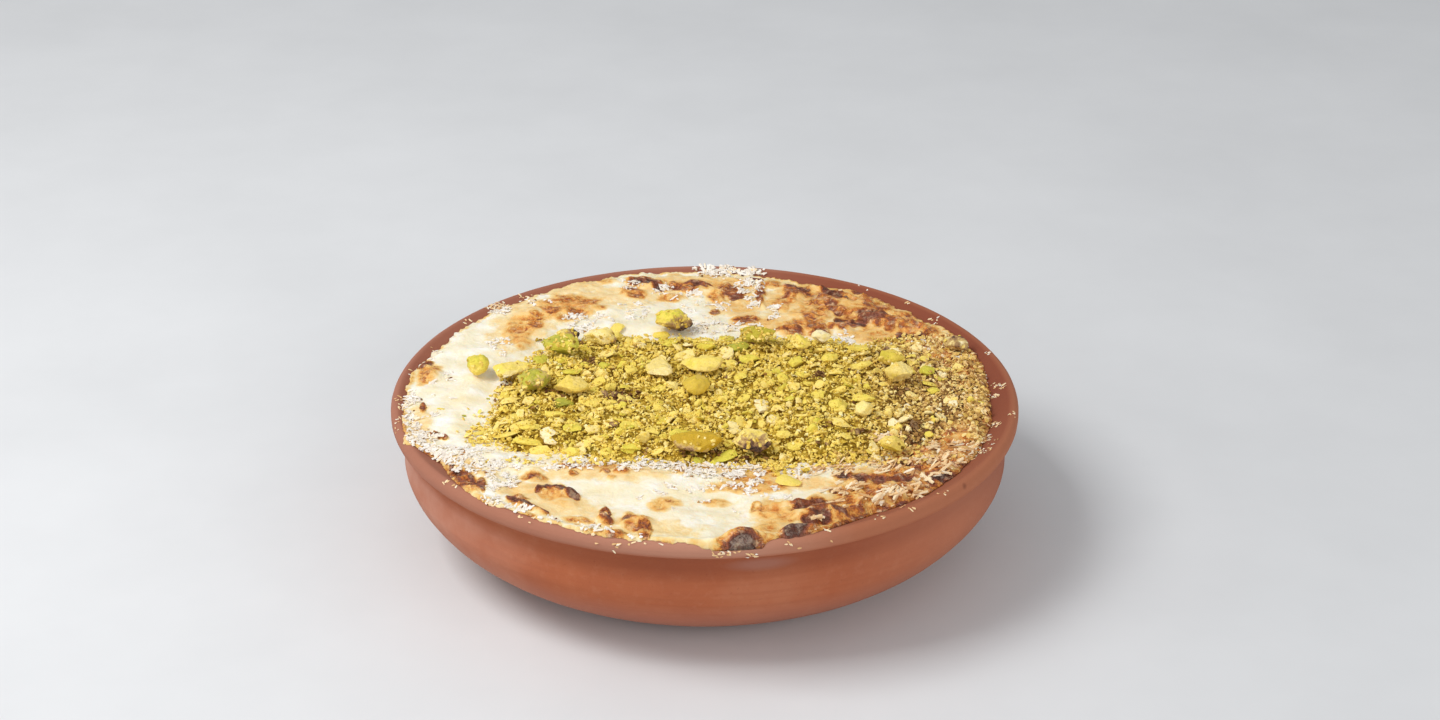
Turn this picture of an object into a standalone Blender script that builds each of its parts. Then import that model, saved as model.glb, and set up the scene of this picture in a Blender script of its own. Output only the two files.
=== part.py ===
"""Baked kunafa in a shallow terracotta dish, under ground and chopped pistachio.

Metres, +Z up. The origin is the middle of the dish's flat base, and -Y is its front.
"""

import math
import random

import bmesh
import bpy
from mathutils import Euler, Matrix, Vector, noise
from mathutils.bvhtree import BVHTree

MM = 0.001
GAP = 0.35 * MM  # between two pieces that touch
COLLECTION_NAME = "kunafa_dish"

# The dish is one turned piece of unglazed clay.
TURN_STEPS = 56  # shared with the filling, so that their facets match
RIM_RADIUS = 100 * MM
BASE_RADIUS = 60 * MM
BELLY_RADIUS = 96.5 * MM
BELLY_HEIGHT = 27.4 * MM
BELLY_FULLNESS = 1.595  # 2 is an ellipse, less is a straighter slope to the base
WALL = 8 * MM
FLOOR = 8 * MM
LIP_TOP = 46.7 * MM
CREST_RADIUS = 97.6 * MM  # where the lip starts to round over, outwards
CREST_DROP = 2.7 * MM
BEAD_HEIGHT = 43.4 * MM  # middle of the lip's rounded underside
BEAD_RADIUS = 2.1 * MM
BEVEL_FOOT = (89 * MM, 42.2 * MM)  # the lip slopes in to this radius and height
GROOVE = ((97.1, 40.5), (96.1, 38.8), (95.9, 36.0), (96.2, 31.8))  # mm, below the lip

# The filling fills the dish and thins to a film on the lip, out to these radii.
FOOD_LEVEL = 46.0 * MM
FOOD_TILT = 0.009  # it stands higher on the left
FILM = 0.8 * MM
EDGE_ROUND = 4 * MM
EDGE_RADII = (91.2, 94, 92.8, 93.2, 94.4, 95.3, 94.5, 94, 95.3, 97, 96.2, 98, 98.2, 95.5, 92.4, 91.4)
EDGE_LIMITS = (90, 98.2)
# Where the edge is bitten in or bulges out: heading and half width in degrees, and depth in mm.
EDGE_BITES = ((210, 6.5, -4.4), (229, 6, 2.0), (287, 6, 2.2), (301, 7, -4.6), (54, 7, 1.6))
TOP_RINGS = (36, 47, 55, 61, 66.5, 71.5, 76, 80, 84, 88, 91.5)
NOMINAL_EDGE = 95 * MM

# The ground pistachio is one low heap, wider than deep, thinner to the right.
HEAP_STEPS = 52
HEAP_CENTRE = (5 * MM, -4 * MM)
HEAP_FLOOR = 45.3 * MM
HEAP_RIM = 0.7 * MM
HEAP_DEPTH = 2.3 * MM
HEAP_RADII = (83.5, 79, 57, 47, 43, 46, 62, 68, 70, 76, 57, 45.5, 45.5, 49, 60, 73)
HEAP_RINGS = (0.14, 0.3, 0.44, 0.57, 0.68, 0.78, 0.87, 0.94)

# Kernels and half kernels: x, y, length, width, height in mm, heading in degrees, kind.
KERNELS = (
    (-10.3, 44.5, 12.8, 9.0, 8.4, 6, "whole"),
    (-45.6, 36.2, 8.5, 6.5, 4.8, 20, "whole"),
    (-47.2, 22.0, 12.6, 9.2, 6.6, 172, "whole"),
    (-73.2, 11.0, 8.6, 7.4, 6.2, 62, "whole"),
    (-62.4, 9.0, 12.6, 8.6, 3.8, 14, "half"),
    (-54.4, -3.8, 11.0, 8.4, 6.2, 10, "whole"),
    (-42.4, -6.6, 12.0, 9.2, 5.4, 160, "half"),
    (-34.6, 30.2, 11.2, 7.8, 4.8, 8, "half"),
    (-14.8, 7.6, 12.4, 8.8, 4.0, 84, "hollow"),
    (-0.9, 8.4, 13.6, 8.2, 5.2, 10, "half"),
    (-2.6, -6.4, 9.6, 8.0, 5.0, 28, "half"),
    (17.6, 32.0, 12.0, 7.2, 4.6, 172, "half"),
    (31.4, 24.0, 7.4, 6.6, 5.0, 75, "whole"),
    (38.6, 31.6, 6.8, 5.2, 3.6, 4, "half"),
    (60.6, 15.8, 9.0, 6.6, 4.2, 10, "half"),
    (61.8, 2.0, 9.4, 8.0, 6.0, 150, "whole"),
    (-2.6, -43.8, 16.2, 8.4, 6.0, 174, "whole"),
    (14.2, -44.6, 12.2, 9.2, 7.4, 12, "whole"),
    (57.0, -42.0, 8.6, 6.8, 4.6, 170, "half"),
    (49.8, -22.0, 6.4, 6.0, 4.6, 40, "whole"),
    (82.8, 31.0, 9.2, 7.0, 4.8, 140, "half"),
)

# Chopped pieces of the heap that show from a step away, in the same terms.
CHUNKS = (
    (11.1, 26.0, 8, 5, 4, 20), (71.8, 9.1, 5.6, 5, 3.4, 0), (17.9, -17.1, 6, 5, 3.6, 110),
    (-29.7, 39.5, 6, 5, 3.6, 60), (-11.8, 31.8, 7, 5, 3, 5), (0.4, 27.2, 7, 5, 3.4, 0),
    (-6.4, 19.4, 8, 4.6, 3, 12), (29.6, 13.9, 5.5, 5, 4, 30), (14.6, 17.0, 8, 4.4, 3, 8),
    (7.0, 21.2, 6, 4, 3, 160), (40.8, 18.0, 6.5, 4.5, 3.4, 20), (68.0, 17.0, 5, 4, 3, 0),
    (51.6, 12.9, 6, 4.4, 3, 0), (41.9, 6.3, 5, 4, 3, 0), (73.1, -3.0, 5, 3.4, 2.4, 20),
    (50.1, -11.0, 8, 4.6, 3.4, 5), (42.0, -16.2, 7, 5, 3.6, 15), (42.6, -27.6, 7, 5, 3, 0),
    (50.3, 26.5, 9, 4, 2.6, 2), (-61.4, -9.0, 8, 4, 2.4, 12), (-57.0, 1.5, 5, 4.4, 4, 0),
    (-54.2, -30, 8, 3.6, 2.4, 5), (-54.0, -37.1, 11, 3.6, 2.4, 176), (-46.5, -20.6, 8.4, 4, 2.6, 0),
    (-40.9, -31.5, 7, 5, 3.4, 0), (-44.4, -13.6, 6.6, 4.6, 3, 20), (-47.1, -37.7, 5, 4.6, 3.4, 0),
    (-7.5, -34.5, 8.4, 4, 2.6, 20), (-22.4, -41.5, 6.6, 4, 3, 8), (27.3, -42.0, 5, 4.4, 3.2, 0),
)
SMALL_CHUNKS = 56
SMALL_CHUNK_SIZES = (5.4 * MM, 2.6 * MM)  # from the first to the last

# Blisters and folds of the browned skin: x, y, length, width, rise in mm, heading.
BLISTERS = (
    (11.2, -95.9, 13, 7.6, 2.9, 0), (27.0, -92.2, 12, 4.6, 2.0, 16), (33, -80.5, 18, 8, 2.2, 12),
    (-28.9, -84.6, 5, 4.6, 1.6, 0), (-19.6, -87, 10.6, 7, 1.9, 8), (-51.9, -55.4, 7, 5, 1.0, 0),
    (-88, 10, 7, 11, 1.5, 0), (-60, 57, 12, 8, 1.4, 40), (-49.6, 59, 12, 8, 1.5, 25),
    (-18.5, 82, 11, 6, 1.8, 8), (-1, 78.5, 12, 6, 1.6, 0), (31, 75.5, 9, 6, 2.0, 150),
    (48.5, 66.5, 25, 12, 2.0, 150), (60.5, 53.4, 19, 8, 2.4, 152), (28.5, 46.5, 10, 5, 1.3, 10),
    (56.5, -65, 15, 7, 1.7, 22), (71, -52, 11, 7, 1.6, 38), (-66, -60, 13, 6, 1.3, 138),
)
FOLDS = (
    ((-49.6, -66.4), (-46.4, -67.0), (-43.2, -68.8), (-40.6, -68.4), (-37.6, -70.4)),
    ((-54.2, -76.6), (-50.6, -79.2), (-46.4, -81.4)),
    ((20.6, 76.0), (19.0, 70.0), (20.2, 64.0)),
    ((36.0, 82.0), (46.0, 77.0), (57.0, 70.0)),
    ((70.0, 52.0), (75.0, 45.0), (79.0, 39.0)),
    ((18.0, -76.6), (25.0, -74.6), (34.0, -73.2)),
    ((42.0, -71.0), (50.0, -71.6), (59.0, -68.6)),
    ((50.0, -57.6), (59.0, -55.0), (67.0, -49.6)),
)
FOLD_RADIUS = 0.9 * MM

# Coconut shreds lie in drifts: x, y, half width, half depth in mm, and how many.
DRIFTS = (
    (6, 86, 16, 8, 12), (-66, 58, 14, 9, 5), (-84, -14, 7, 24, 9), (-4, -58, 40, 6, 10),
    (76, -42, 8, 12, 6), (-50, -74, 26, 8, 3), (8, 58, 22, 8, 6),
)
SHRED_SIZE = (5.2 * MM, 1.5 * MM)  # length and width


def clear_scene():
    for obj in list(bpy.data.objects):
        bpy.data.objects.remove(obj)


def clay():
    return material("terracotta", (0.42, 0.15, 0.085), 0.85)


def cream():
    return material("baked_cream", (0.88, 0.78, 0.56), 0.5)


def ground_nut():
    return material("ground_pistachio", (0.45, 0.35, 0.07), 0.8)


def kernel_green():
    return material("pistachio_kernel", (0.44, 0.46, 0.08), 0.55)


def material(name, colour, roughness):
    found = bpy.data.materials.get(name)
    if found:
        return found
    made = bpy.data.materials.new(name)
    made.use_nodes = True
    shader = made.node_tree.nodes["Principled BSDF"]
    shader.inputs["Base Color"].default_value = (*colour, 1)
    shader.inputs["Roughness"].default_value = roughness
    shader.inputs["Metallic"].default_value = 0
    made.diffuse_color = (*colour, 1)
    return made


def smooth(share):
    """0 to 1 with a soft start and end."""
    share = min(max(share, 0), 1)
    return share * share * (3 - 2 * share)


def around(values, angle):
    """A smooth closed curve through values spaced evenly round a circle."""
    place = angle / math.tau % 1 * len(values)
    first = int(place) % len(values)
    share = smooth(place - int(place))
    return values[first] * (1 - share) + values[(first + 1) % len(values)] * share


def arc(centre, radii, start, end, steps):
    """Points of an elliptic arc as (radius, height), between two angles in degrees."""
    angles = (math.radians(start + (end - start) * i / steps) for i in range(steps + 1))
    return [
        (centre[0] + radii[0] * math.cos(a), centre[1] + radii[1] * math.sin(a))
        for a in angles
    ]


def belly(widest, foot, steps):
    """The bowl's wall, from its widest point down to the edge of its flat foot."""
    power = 2 / BELLY_FULLNESS
    points = []
    for i in range(steps + 1):
        turn = math.pi / 2 * i / steps
        out = max(math.cos(turn), 0) ** power
        down = math.sin(turn) ** power
        radius = foot[0] + (widest[0] - foot[0]) * out
        points.append((radius, widest[1] + (foot[1] - widest[1]) * down))
    return points


def hollow_outline():
    """The inside of the dish, from the middle of its floor up to the lip's bevel."""
    widest = (BELLY_RADIUS - WALL, BELLY_HEIGHT + WALL / 3)
    foot = (BASE_RADIUS - WALL / 2, FLOOR)
    wall = belly(widest, foot, 3)
    return [(0, FLOOR), *reversed(wall), BEVEL_FOOT]


def dish_outline():
    """From the middle of the floor over the lip and down the outside to the base."""
    crest_centre = (CREST_RADIUS, LIP_TOP - CREST_DROP)
    crest_radii = (RIM_RADIUS - CREST_RADIUS, CREST_DROP)
    bead_centre = (RIM_RADIUS - BEAD_RADIUS, BEAD_HEIGHT)
    crest = arc(crest_centre, crest_radii, 90, 0, 3)
    bead = arc(bead_centre, (BEAD_RADIUS, BEAD_RADIUS), 0, -80, 2)
    groove = [(radius * MM, height * MM) for radius, height in GROOVE]
    wall = belly((BELLY_RADIUS, BELLY_HEIGHT), (BASE_RADIUS, 0), 6)
    return [*hollow_outline(), *crest, *bead, *groove, *wall, (0, 0)]


def lip_height(radius):
    """Height of the dish's bevel and crest at a radius."""
    foot, low = BEVEL_FOOT
    slope = (LIP_TOP - low) / (CREST_RADIUS - foot)
    return min(LIP_TOP, low + slope * (radius - foot))


def edge_radius(angle):
    radius = around(EDGE_RADII, angle)
    for heading, half_width, depth in EDGE_BITES:
        off = (math.degrees(angle) - heading + 180) % 360 - 180
        radius += depth * math.exp(-((off / half_width) ** 2))
    low, high = EDGE_LIMITS
    return min(max(radius, low), high) * MM


def lumps(x, y, size, seed):
    return noise.noise(Vector((x / size, y / size, seed)))


def heap_radius(angle):
    ragged = 1.8 * lumps(math.cos(angle), math.sin(angle), 0.14, 2.3)
    return (around(HEAP_RADII, angle) + ragged) * MM


def outside_heap(x, y):
    """How far a place lies outside the heap's outline, and below 0 inside it."""
    x, y = x - HEAP_CENTRE[0], y - HEAP_CENTRE[1]
    return math.hypot(x, y) - heap_radius(math.atan2(y, x))


def food_height(x, y):
    """Top of the baked cream: flat under the heap, lumpy round it, thin on the lip."""
    radius = math.hypot(x, y)
    uneven = 0.9 * lumps(x, y, 21 * MM, 3.1) + 0.45 * lumps(x, y, 9 * MM, 7.7)
    level = FOOD_LEVEL - FOOD_TILT * x + uneven * MM
    bare = smooth((outside_heap(x, y) - 3 * MM) / (8 * MM))
    height = HEAP_FLOOR + (level - HEAP_FLOOR) * bare
    film = lip_height(radius) + GAP + FILM
    inland = smooth((edge_radius(math.atan2(y, x)) - radius) / EDGE_ROUND)
    return film + (max(height, film) - film) * inland


def heap_height(x, y):
    """Top of the ground pistachio."""
    inside = smooth(-outside_heap(x, y) / (13 * MM))
    thinner = 1 - 0.5 * smooth((x - 35 * MM) / (50 * MM))
    uneven = 0.7 * lumps(x, y, 11 * MM, 1.7) + 0.8 * lumps(x, y, 4.5 * MM, 5.3)
    from_centre = math.hypot(x - HEAP_CENTRE[0], y - HEAP_CENTRE[1])
    grains = 0.7 * lumps(x, y, 2.1 * MM, 9.1) * smooth(from_centre / (30 * MM))
    depth = HEAP_DEPTH * thinner + (uneven + grains) * MM
    return HEAP_FLOOR + GAP + HEAP_RIM + depth * inside


def link(obj, surface):
    obj.data.materials.clear()
    obj.data.materials.append(surface)
    bpy.data.collections[COLLECTION_NAME].objects.link(obj)


def turned(name, outline, steps):
    """An object turned from an outline that ends on the axis at its top and bottom."""
    mesh = bpy.data.meshes.new(name)
    points = [(radius, 0, height) for radius, height in outline]
    mesh.from_pydata(points, [(i, i + 1) for i in range(len(points) - 1)], [])
    obj = bpy.data.objects.new(name, mesh)
    screw = obj.modifiers.new("Turn", "SCREW")
    screw.steps = screw.render_steps = steps
    screw.use_merge_vertices = True
    screw.merge_threshold = 0.01 * MM
    return obj


def apply_modifiers(obj):
    """Keeps what the object's modifiers make as its mesh."""
    bpy.context.view_layer.update()
    graph = bpy.context.evaluated_depsgraph_get()
    made = bpy.data.meshes.new_from_object(obj.evaluated_get(graph))
    made.name = obj.name
    old = obj.data
    obj.modifiers.clear()
    obj.data = made
    bpy.data.meshes.remove(old)


def shade(obj):
    obj.data.shade_smooth()
    obj.data.set_sharp_from_angle(angle=math.radians(40))


def make_dish():
    dish = turned("dish", dish_outline(), TURN_STEPS)
    link(dish, clay())
    apply_modifiers(dish)
    shade(dish)
    return dish


def inset(outline, distance):
    """The outline of what lies that far inside a hollow's outline."""
    moved = []
    for i, (radius, height) in enumerate(outline):
        before = Vector(outline[max(i - 1, 0)])
        after = Vector(outline[min(i + 1, len(outline) - 1)])
        along = (after - before).normalized()
        moved.append((max(radius - along.y * distance, 0), height + along.x * distance))
    return moved


def sculpt(obj, move):
    """Moves every vertex by a rule that takes its place and gives a new one."""
    for vertex in obj.data.vertices:
        vertex.co = move(vertex.co.copy())
    obj.data.update()


def make_filling():
    """A turned blank with a flat top, its rings moved out to the ragged edge and up."""
    flat_top = 2 * LIP_TOP  # above the rest of the blank, so that the top is told by height
    top = [(0, flat_top)] + [(ring * MM, flat_top) for ring in TOP_RINGS]
    edge = [(NOMINAL_EDGE, flat_top), (NOMINAL_EDGE, LIP_TOP)]
    below = list(reversed(inset(hollow_outline(), GAP)))
    filling = turned("filling", [*top, *edge, *below], TURN_STEPS)
    link(filling, cream())
    apply_modifiers(filling)
    stretch_from = TOP_RINGS[3] * MM

    def move(place):
        radius, angle = math.hypot(place.x, place.y), math.atan2(place.y, place.x)
        if place.z < LIP_TOP - 0.01 * MM:
            return place
        if radius > stretch_from:
            share = (radius - stretch_from) / (NOMINAL_EDGE - stretch_from)
            radius = stretch_from + share * (edge_radius(angle) - stretch_from)
        x, y = radius * math.cos(angle), radius * math.sin(angle)
        on_top = place.z > 1.5 * LIP_TOP
        return Vector((x, y, food_height(x, y) if on_top else lip_height(radius) + GAP))

    sculpt(filling, move)
    return filling


def make_heap():
    """The heap's core: a turned slab, sculpted to the bed's outline and bumpy top."""
    top = [(0, 1)] + [(ring, 1) for ring in HEAP_RINGS] + [(1, 1)]
    heap = turned("pistachio_heap", [*top, (1, 0), (0, 0)], HEAP_STEPS)
    link(heap, ground_nut())
    apply_modifiers(heap)

    def move(place):
        angle = math.atan2(place.y, place.x)
        radius = math.hypot(place.x, place.y) * heap_radius(angle)
        x = HEAP_CENTRE[0] + radius * math.cos(angle)
        y = HEAP_CENTRE[1] + radius * math.sin(angle)
        return Vector((x, y, heap_height(x, y) if place.z > 0.5 else HEAP_FLOOR + GAP))

    sculpt(heap, move)
    return heap


def tree_of(objects):
    """A search tree over the faces of several objects."""
    points, faces = [], []
    for obj in objects:
        first = len(points)
        points += [vertex.co.copy() for vertex in obj.data.vertices]
        faces += [[first + i for i in polygon.vertices] for polygon in obj.data.polygons]
    return BVHTree.FromPolygons(points, faces)


def sphere(segments, rings):
    """A ball one across, its poles on X."""
    ball = bmesh.new()
    bmesh.ops.create_uvsphere(ball, u_segments=segments, v_segments=rings, radius=0.5)
    bmesh.ops.rotate(ball, verts=ball.verts, matrix=Matrix.Rotation(math.pi / 2, 3, "Y"))
    return ball


def kernel_form(place, kind):
    """One end of a kernel is fuller. A half has one flat face, and hollow is a half
    that lies with this face up and a little dished."""
    along = 2 * place.x
    full = 1 - 0.2 * along - 0.12 * along * along
    x, y, z = place.x, place.y * full, place.z * full
    if kind == "whole":
        return Vector((x, y, z))
    z = max(z, -0.12)
    if kind == "hollow":
        return Vector((x, -y, -z - 0.1 * (1 - along * along)))
    return Vector((x, y, z + 0.05 * along * along))


def make_kernel(number, x, y, length, width, height, heading, kind):
    ball = sphere(10, 6)
    for vertex in ball.verts:
        bump = 1 + 0.06 * noise.noise(vertex.co * 5 + Vector((number * 3.7, 0, 0)))
        vertex.co = kernel_form(vertex.co, kind) * bump
    low = min(v.co.z for v in ball.verts)
    tall = max(v.co.z for v in ball.verts) - low
    size = Matrix.Diagonal((length * MM, width * MM, height * MM / tall, 1))
    turn = Matrix.Rotation(math.radians(heading), 4, "Z")
    ball.transform(Matrix.Translation((x * MM, y * MM, LIP_TOP)) @ turn @ size)
    mesh = bpy.data.meshes.new(f"kernel_{number:02d}")
    ball.to_mesh(mesh)
    ball.free()
    kernel = bpy.data.objects.new(mesh.name, mesh)
    link(kernel, kernel_green())
    shade(kernel)
    return kernel


def settle(obj, ground):
    """Moves an object up or down until it lies a gap above the ground."""
    lift = -1
    down = Vector((0, 0, -1))
    samples = [v.co for v in obj.data.vertices] + [f.center for f in obj.data.polygons]
    for point in samples:
        hit = ground.ray_cast(Vector((point.x, point.y, 2 * LIP_TOP)), down)[0]
        if hit:
            lift = max(lift, hit.z + GAP - point.z)
    obj.data.transform(Matrix.Translation((0, 0, lift)))


def chip(size, centre, heading, tilt, draw):
    """An angular piece of nut with 20 faces."""
    form = bmesh.new()
    bmesh.ops.create_icosphere(form, subdivisions=1, radius=0.5)
    for vertex in form.verts:
        vertex.co *= draw.uniform(0.82, 1.12)
    turn = Euler((draw.uniform(-tilt, tilt), draw.uniform(-tilt, tilt), math.radians(heading)))
    form.transform(turn.to_matrix().to_4x4() @ Matrix.Diagonal((*size, 1)))
    form.transform(Matrix.Translation(centre))
    return form


def blister(x, y, length, width, rise, heading):
    """A low dome of baked skin, mostly sunk in the cream."""
    form = sphere(8, 4)
    size = Matrix.Diagonal((length * MM, width * MM, 2.4 * rise * MM, 1))
    turn = Matrix.Rotation(math.radians(heading), 4, "Z")
    x, y = x * MM, y * MM
    height = food_height(x, y) - 0.2 * rise * MM
    form.transform(Matrix.Translation((x, y, height)) @ turn @ size)
    return form


def fold(points):
    """A raised crease of the skin, as a bevelled curve."""
    curve = bpy.data.curves.new("fold", "CURVE")
    curve.dimensions = "3D"
    curve.bevel_depth = FOLD_RADIUS
    curve.bevel_resolution = 1
    curve.use_fill_caps = True
    line = curve.splines.new("POLY")
    line.points.add(len(points) - 1)
    for point, (x, y) in zip(line.points, points):
        x, y = x * MM, y * MM
        point.co = (x, y, food_height(x, y) + 0.3 * FOLD_RADIUS, 1)
    tube = bpy.data.objects.new("fold", curve)
    bpy.context.scene.collection.objects.link(tube)
    bpy.context.view_layer.update()
    graph = bpy.context.evaluated_depsgraph_get()
    form = bmesh.new()
    form.from_mesh(bpy.data.meshes.new_from_object(tube.evaluated_get(graph)))
    bmesh.ops.remove_doubles(form, verts=form.verts, dist=0.01 * MM)
    bmesh.ops.recalc_face_normals(form, faces=form.faces)
    bpy.data.objects.remove(tube)
    return form


def shred(x, y, draw):
    """A coconut shred: a three-sided strip, bent at its middle."""
    form = bmesh.new()
    width = SHRED_SIZE[1] / 2
    bmesh.ops.create_cone(
        form, cap_ends=True, segments=3, radius1=width, radius2=width, depth=1
    )
    everything = [*form.verts, *form.edges, *form.faces]
    bmesh.ops.bisect_plane(form, geom=everything, plane_co=(0, 0, 0), plane_no=(0, 0, 1))
    bend = draw.uniform(0.2, 0.7) * MM
    length = SHRED_SIZE[0] * draw.uniform(0.7, 1.25)
    for vertex in form.verts:
        middle = 1 if abs(vertex.co.z) < 0.1 else 0
        vertex.co = Vector((vertex.co.z * length, vertex.co.y, vertex.co.x + bend * middle))
    bmesh.ops.recalc_face_normals(form, faces=form.faces)
    turn = Euler((draw.uniform(-0.5, 0.5), draw.uniform(-0.16, 0.16), draw.uniform(0, math.tau)))
    form.transform(turn.to_matrix().to_4x4())
    form.transform(Matrix.Translation((x, y, food_height(x, y) + 0.2 * MM)))
    return form


def points_on(form):
    """The form's corners and the middles of its edges and faces."""
    middles = [(edge.verts[0].co + edge.verts[1].co) / 2 for edge in form.edges]
    faces = [face.calc_center_median() for face in form.faces]
    return [vertex.co for vertex in form.verts] + middles + faces


def is_clear(form, neighbours):
    """True if no point of the form is within reach of the neighbours."""
    centre = sum((v.co for v in form.verts), Vector()) / len(form.verts)
    hit, normal, _, far = neighbours.find_nearest(centre)
    if (centre - hit).dot(normal) < 0 and far < 6 * MM:
        return False
    return all(neighbours.find_nearest(point)[3] > 1.6 * GAP for point in points_on(form))


def keep_off_lip(form):
    """Lifts the vertices of a form that would reach into the dish's lip."""
    for vertex in form.verts:
        radius = math.hypot(vertex.co.x, vertex.co.y)
        if radius > BEVEL_FOOT[0] - 2 * MM:
            lowest = lip_height(max(radius, BEVEL_FOOT[0])) + GAP + FILM / 4
            vertex.co.z = max(vertex.co.z, lowest)


def raise_above(form, height):
    """Lifts a form whose lowest point is below a height."""
    low = min(vertex.co.z for vertex in form.verts)
    if low < height:
        bmesh.ops.translate(form, verts=form.verts, vec=(0, 0, height - low))


def heap_chips(kernels):
    """The chopped pieces that show on the heap, the largest first, clear of the kernels."""
    draw = random.Random(11)
    forms, places = [], []

    def add(x, y, size, heading, tilt):
        centre = (x, y, heap_height(x, y) + 0.15 * size[2])
        form = chip(size, centre, heading, tilt, draw)
        raise_above(form, HEAP_FLOOR + GAP)
        if is_clear(form, kernels):
            forms.append(form)
            places.append((x, y))
        else:
            form.free()

    for x, y, length, width, height, heading in CHUNKS:
        add(x * MM, y * MM, (length * MM, width * MM, height * MM), heading, 0.15)
    while len(forms) < len(CHUNKS) + SMALL_CHUNKS:
        share = (len(forms) - len(CHUNKS)) / SMALL_CHUNKS
        size = SMALL_CHUNK_SIZES[0] + (SMALL_CHUNK_SIZES[1] - SMALL_CHUNK_SIZES[0]) * max(share, 0)
        x = HEAP_CENTRE[0] + draw.uniform(-75, 85) * MM
        y = HEAP_CENTRE[1] + draw.uniform(-50, 48) * MM
        near = min(math.hypot(x - a, y - b) for a, b in places)
        if outside_heap(x, y) > -size / 2 - MM or near < 1.1 * size:
            continue
        shape = (size, size * draw.uniform(0.6, 0.9), size * draw.uniform(0.5, 0.75))
        add(x, y, shape, draw.uniform(0, 180), 0.4)
    return forms


def skin_and_coconut(neighbours):
    """Blisters, folds and shreds of the filling's top, clear of the heap and kernels."""
    draw = random.Random(23)
    forms = [blister(*each) for each in BLISTERS] + [fold(each) for each in FOLDS]
    for x, y, half_width, half_depth, count in DRIFTS:
        for _ in range(count):
            at_x = (x + half_width * draw.uniform(-1, 1)) * MM
            at_y = (y + half_depth * draw.uniform(-1, 1)) * MM
            room = edge_radius(math.atan2(at_y, at_x)) - math.hypot(at_x, at_y)
            if room > 2.5 * MM:
                forms.append(shred(at_x, at_y, draw))
    for form in forms:
        keep_off_lip(form)
    return [form for form in forms if is_clear(form, neighbours)]


def largest_body(form):
    """Deletes every loose body but the one with the most faces."""
    left, bodies = set(form.faces), []
    while left:
        body, edge_of_search = set(), [left.pop()]
        while edge_of_search:
            face = edge_of_search.pop()
            body.add(face)
            found = {f for edge in face.edges for f in edge.link_faces} & left
            left -= found
            edge_of_search += found
        bodies.append(body)
    bodies.sort(key=len)
    scrap = [face for body in bodies[:-1] for face in body]
    bmesh.ops.delete(form, geom=scrap, context="FACES")


def fuse(obj, forms):
    """Joins forms to an object by one Boolean union."""
    extras = bpy.data.collections.new(f"{obj.name}_pieces")
    bpy.context.scene.collection.children.link(extras)
    for form in forms:
        mesh = bpy.data.meshes.new("piece")
        form.to_mesh(mesh)
        form.free()
        extras.objects.link(bpy.data.objects.new("piece", mesh))
    union = obj.modifiers.new("Fuse", "BOOLEAN")
    union.operation = "UNION"
    union.operand_type = "COLLECTION"
    union.collection = extras
    union.solver = "MANIFOLD"
    apply_modifiers(obj)
    for piece in list(extras.objects):
        bpy.data.objects.remove(piece)
    bpy.data.collections.remove(extras)
    whole = bmesh.new()
    whole.from_mesh(obj.data)
    largest_body(whole)
    whole.to_mesh(obj.data)
    whole.free()
    shade(obj)


def main():
    clear_scene()
    collection = bpy.data.collections.new(COLLECTION_NAME)
    bpy.context.scene.collection.children.link(collection)
    make_dish()
    filling = make_filling()
    heap = make_heap()
    ground = tree_of([filling, heap])
    kernels = [make_kernel(i + 1, *each) for i, each in enumerate(KERNELS)]
    for kernel in kernels:
        settle(kernel, ground)
    fuse(heap, heap_chips(tree_of(kernels)))
    fuse(filling, skin_and_coconut(tree_of([heap, *kernels])))


main()
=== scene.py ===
"""Baked kunafa in a terracotta dish: the looks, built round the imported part.

Metres, +Z up, -Y is the front. Places called px and py are pixels of the photograph, 1440 x 720.
"""

import math
import random

import bmesh
import bpy
import numpy as np
from mathutils import Euler, Matrix, Vector, noise
from mathutils.bvhtree import BVHTree


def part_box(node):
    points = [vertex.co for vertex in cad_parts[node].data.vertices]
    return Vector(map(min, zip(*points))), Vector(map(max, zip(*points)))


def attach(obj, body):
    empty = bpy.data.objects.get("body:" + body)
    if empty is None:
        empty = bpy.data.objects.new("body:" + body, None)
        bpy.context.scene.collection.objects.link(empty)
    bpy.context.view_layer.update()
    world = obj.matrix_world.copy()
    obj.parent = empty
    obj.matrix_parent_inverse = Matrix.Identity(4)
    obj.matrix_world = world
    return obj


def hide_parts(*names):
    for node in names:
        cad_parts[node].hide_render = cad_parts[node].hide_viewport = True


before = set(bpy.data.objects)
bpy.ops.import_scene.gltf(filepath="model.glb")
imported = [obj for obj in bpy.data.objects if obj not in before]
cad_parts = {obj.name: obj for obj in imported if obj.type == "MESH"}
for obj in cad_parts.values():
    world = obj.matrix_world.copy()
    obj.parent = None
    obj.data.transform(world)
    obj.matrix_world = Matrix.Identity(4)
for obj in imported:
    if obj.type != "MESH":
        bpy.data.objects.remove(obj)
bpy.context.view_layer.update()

MM = 0.001
GAP = 0.35 * MM

# The camera of the photograph, fitted to the rim's ellipse.
PICTURE = (1440, 720)
FOCAL_PX = 2491.8
AXIS_PX = (704.8, 402.6)
CAMERA_TILT = math.radians(26.73)
CAMERA_DISTANCE = 0.8
CAMERA_TARGET = Vector((0, 0, 41.8 * MM))
BACKWARD = Vector((0, -math.cos(CAMERA_TILT), math.sin(CAMERA_TILT)))
CAMERA_PLACE = CAMERA_TARGET + CAMERA_DISTANCE * BACKWARD
FORWARD = (CAMERA_TARGET - CAMERA_PLACE).normalized()
UP = Vector((0, math.sin(CAMERA_TILT), math.cos(CAMERA_TILT)))
SENSOR = 36

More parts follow.
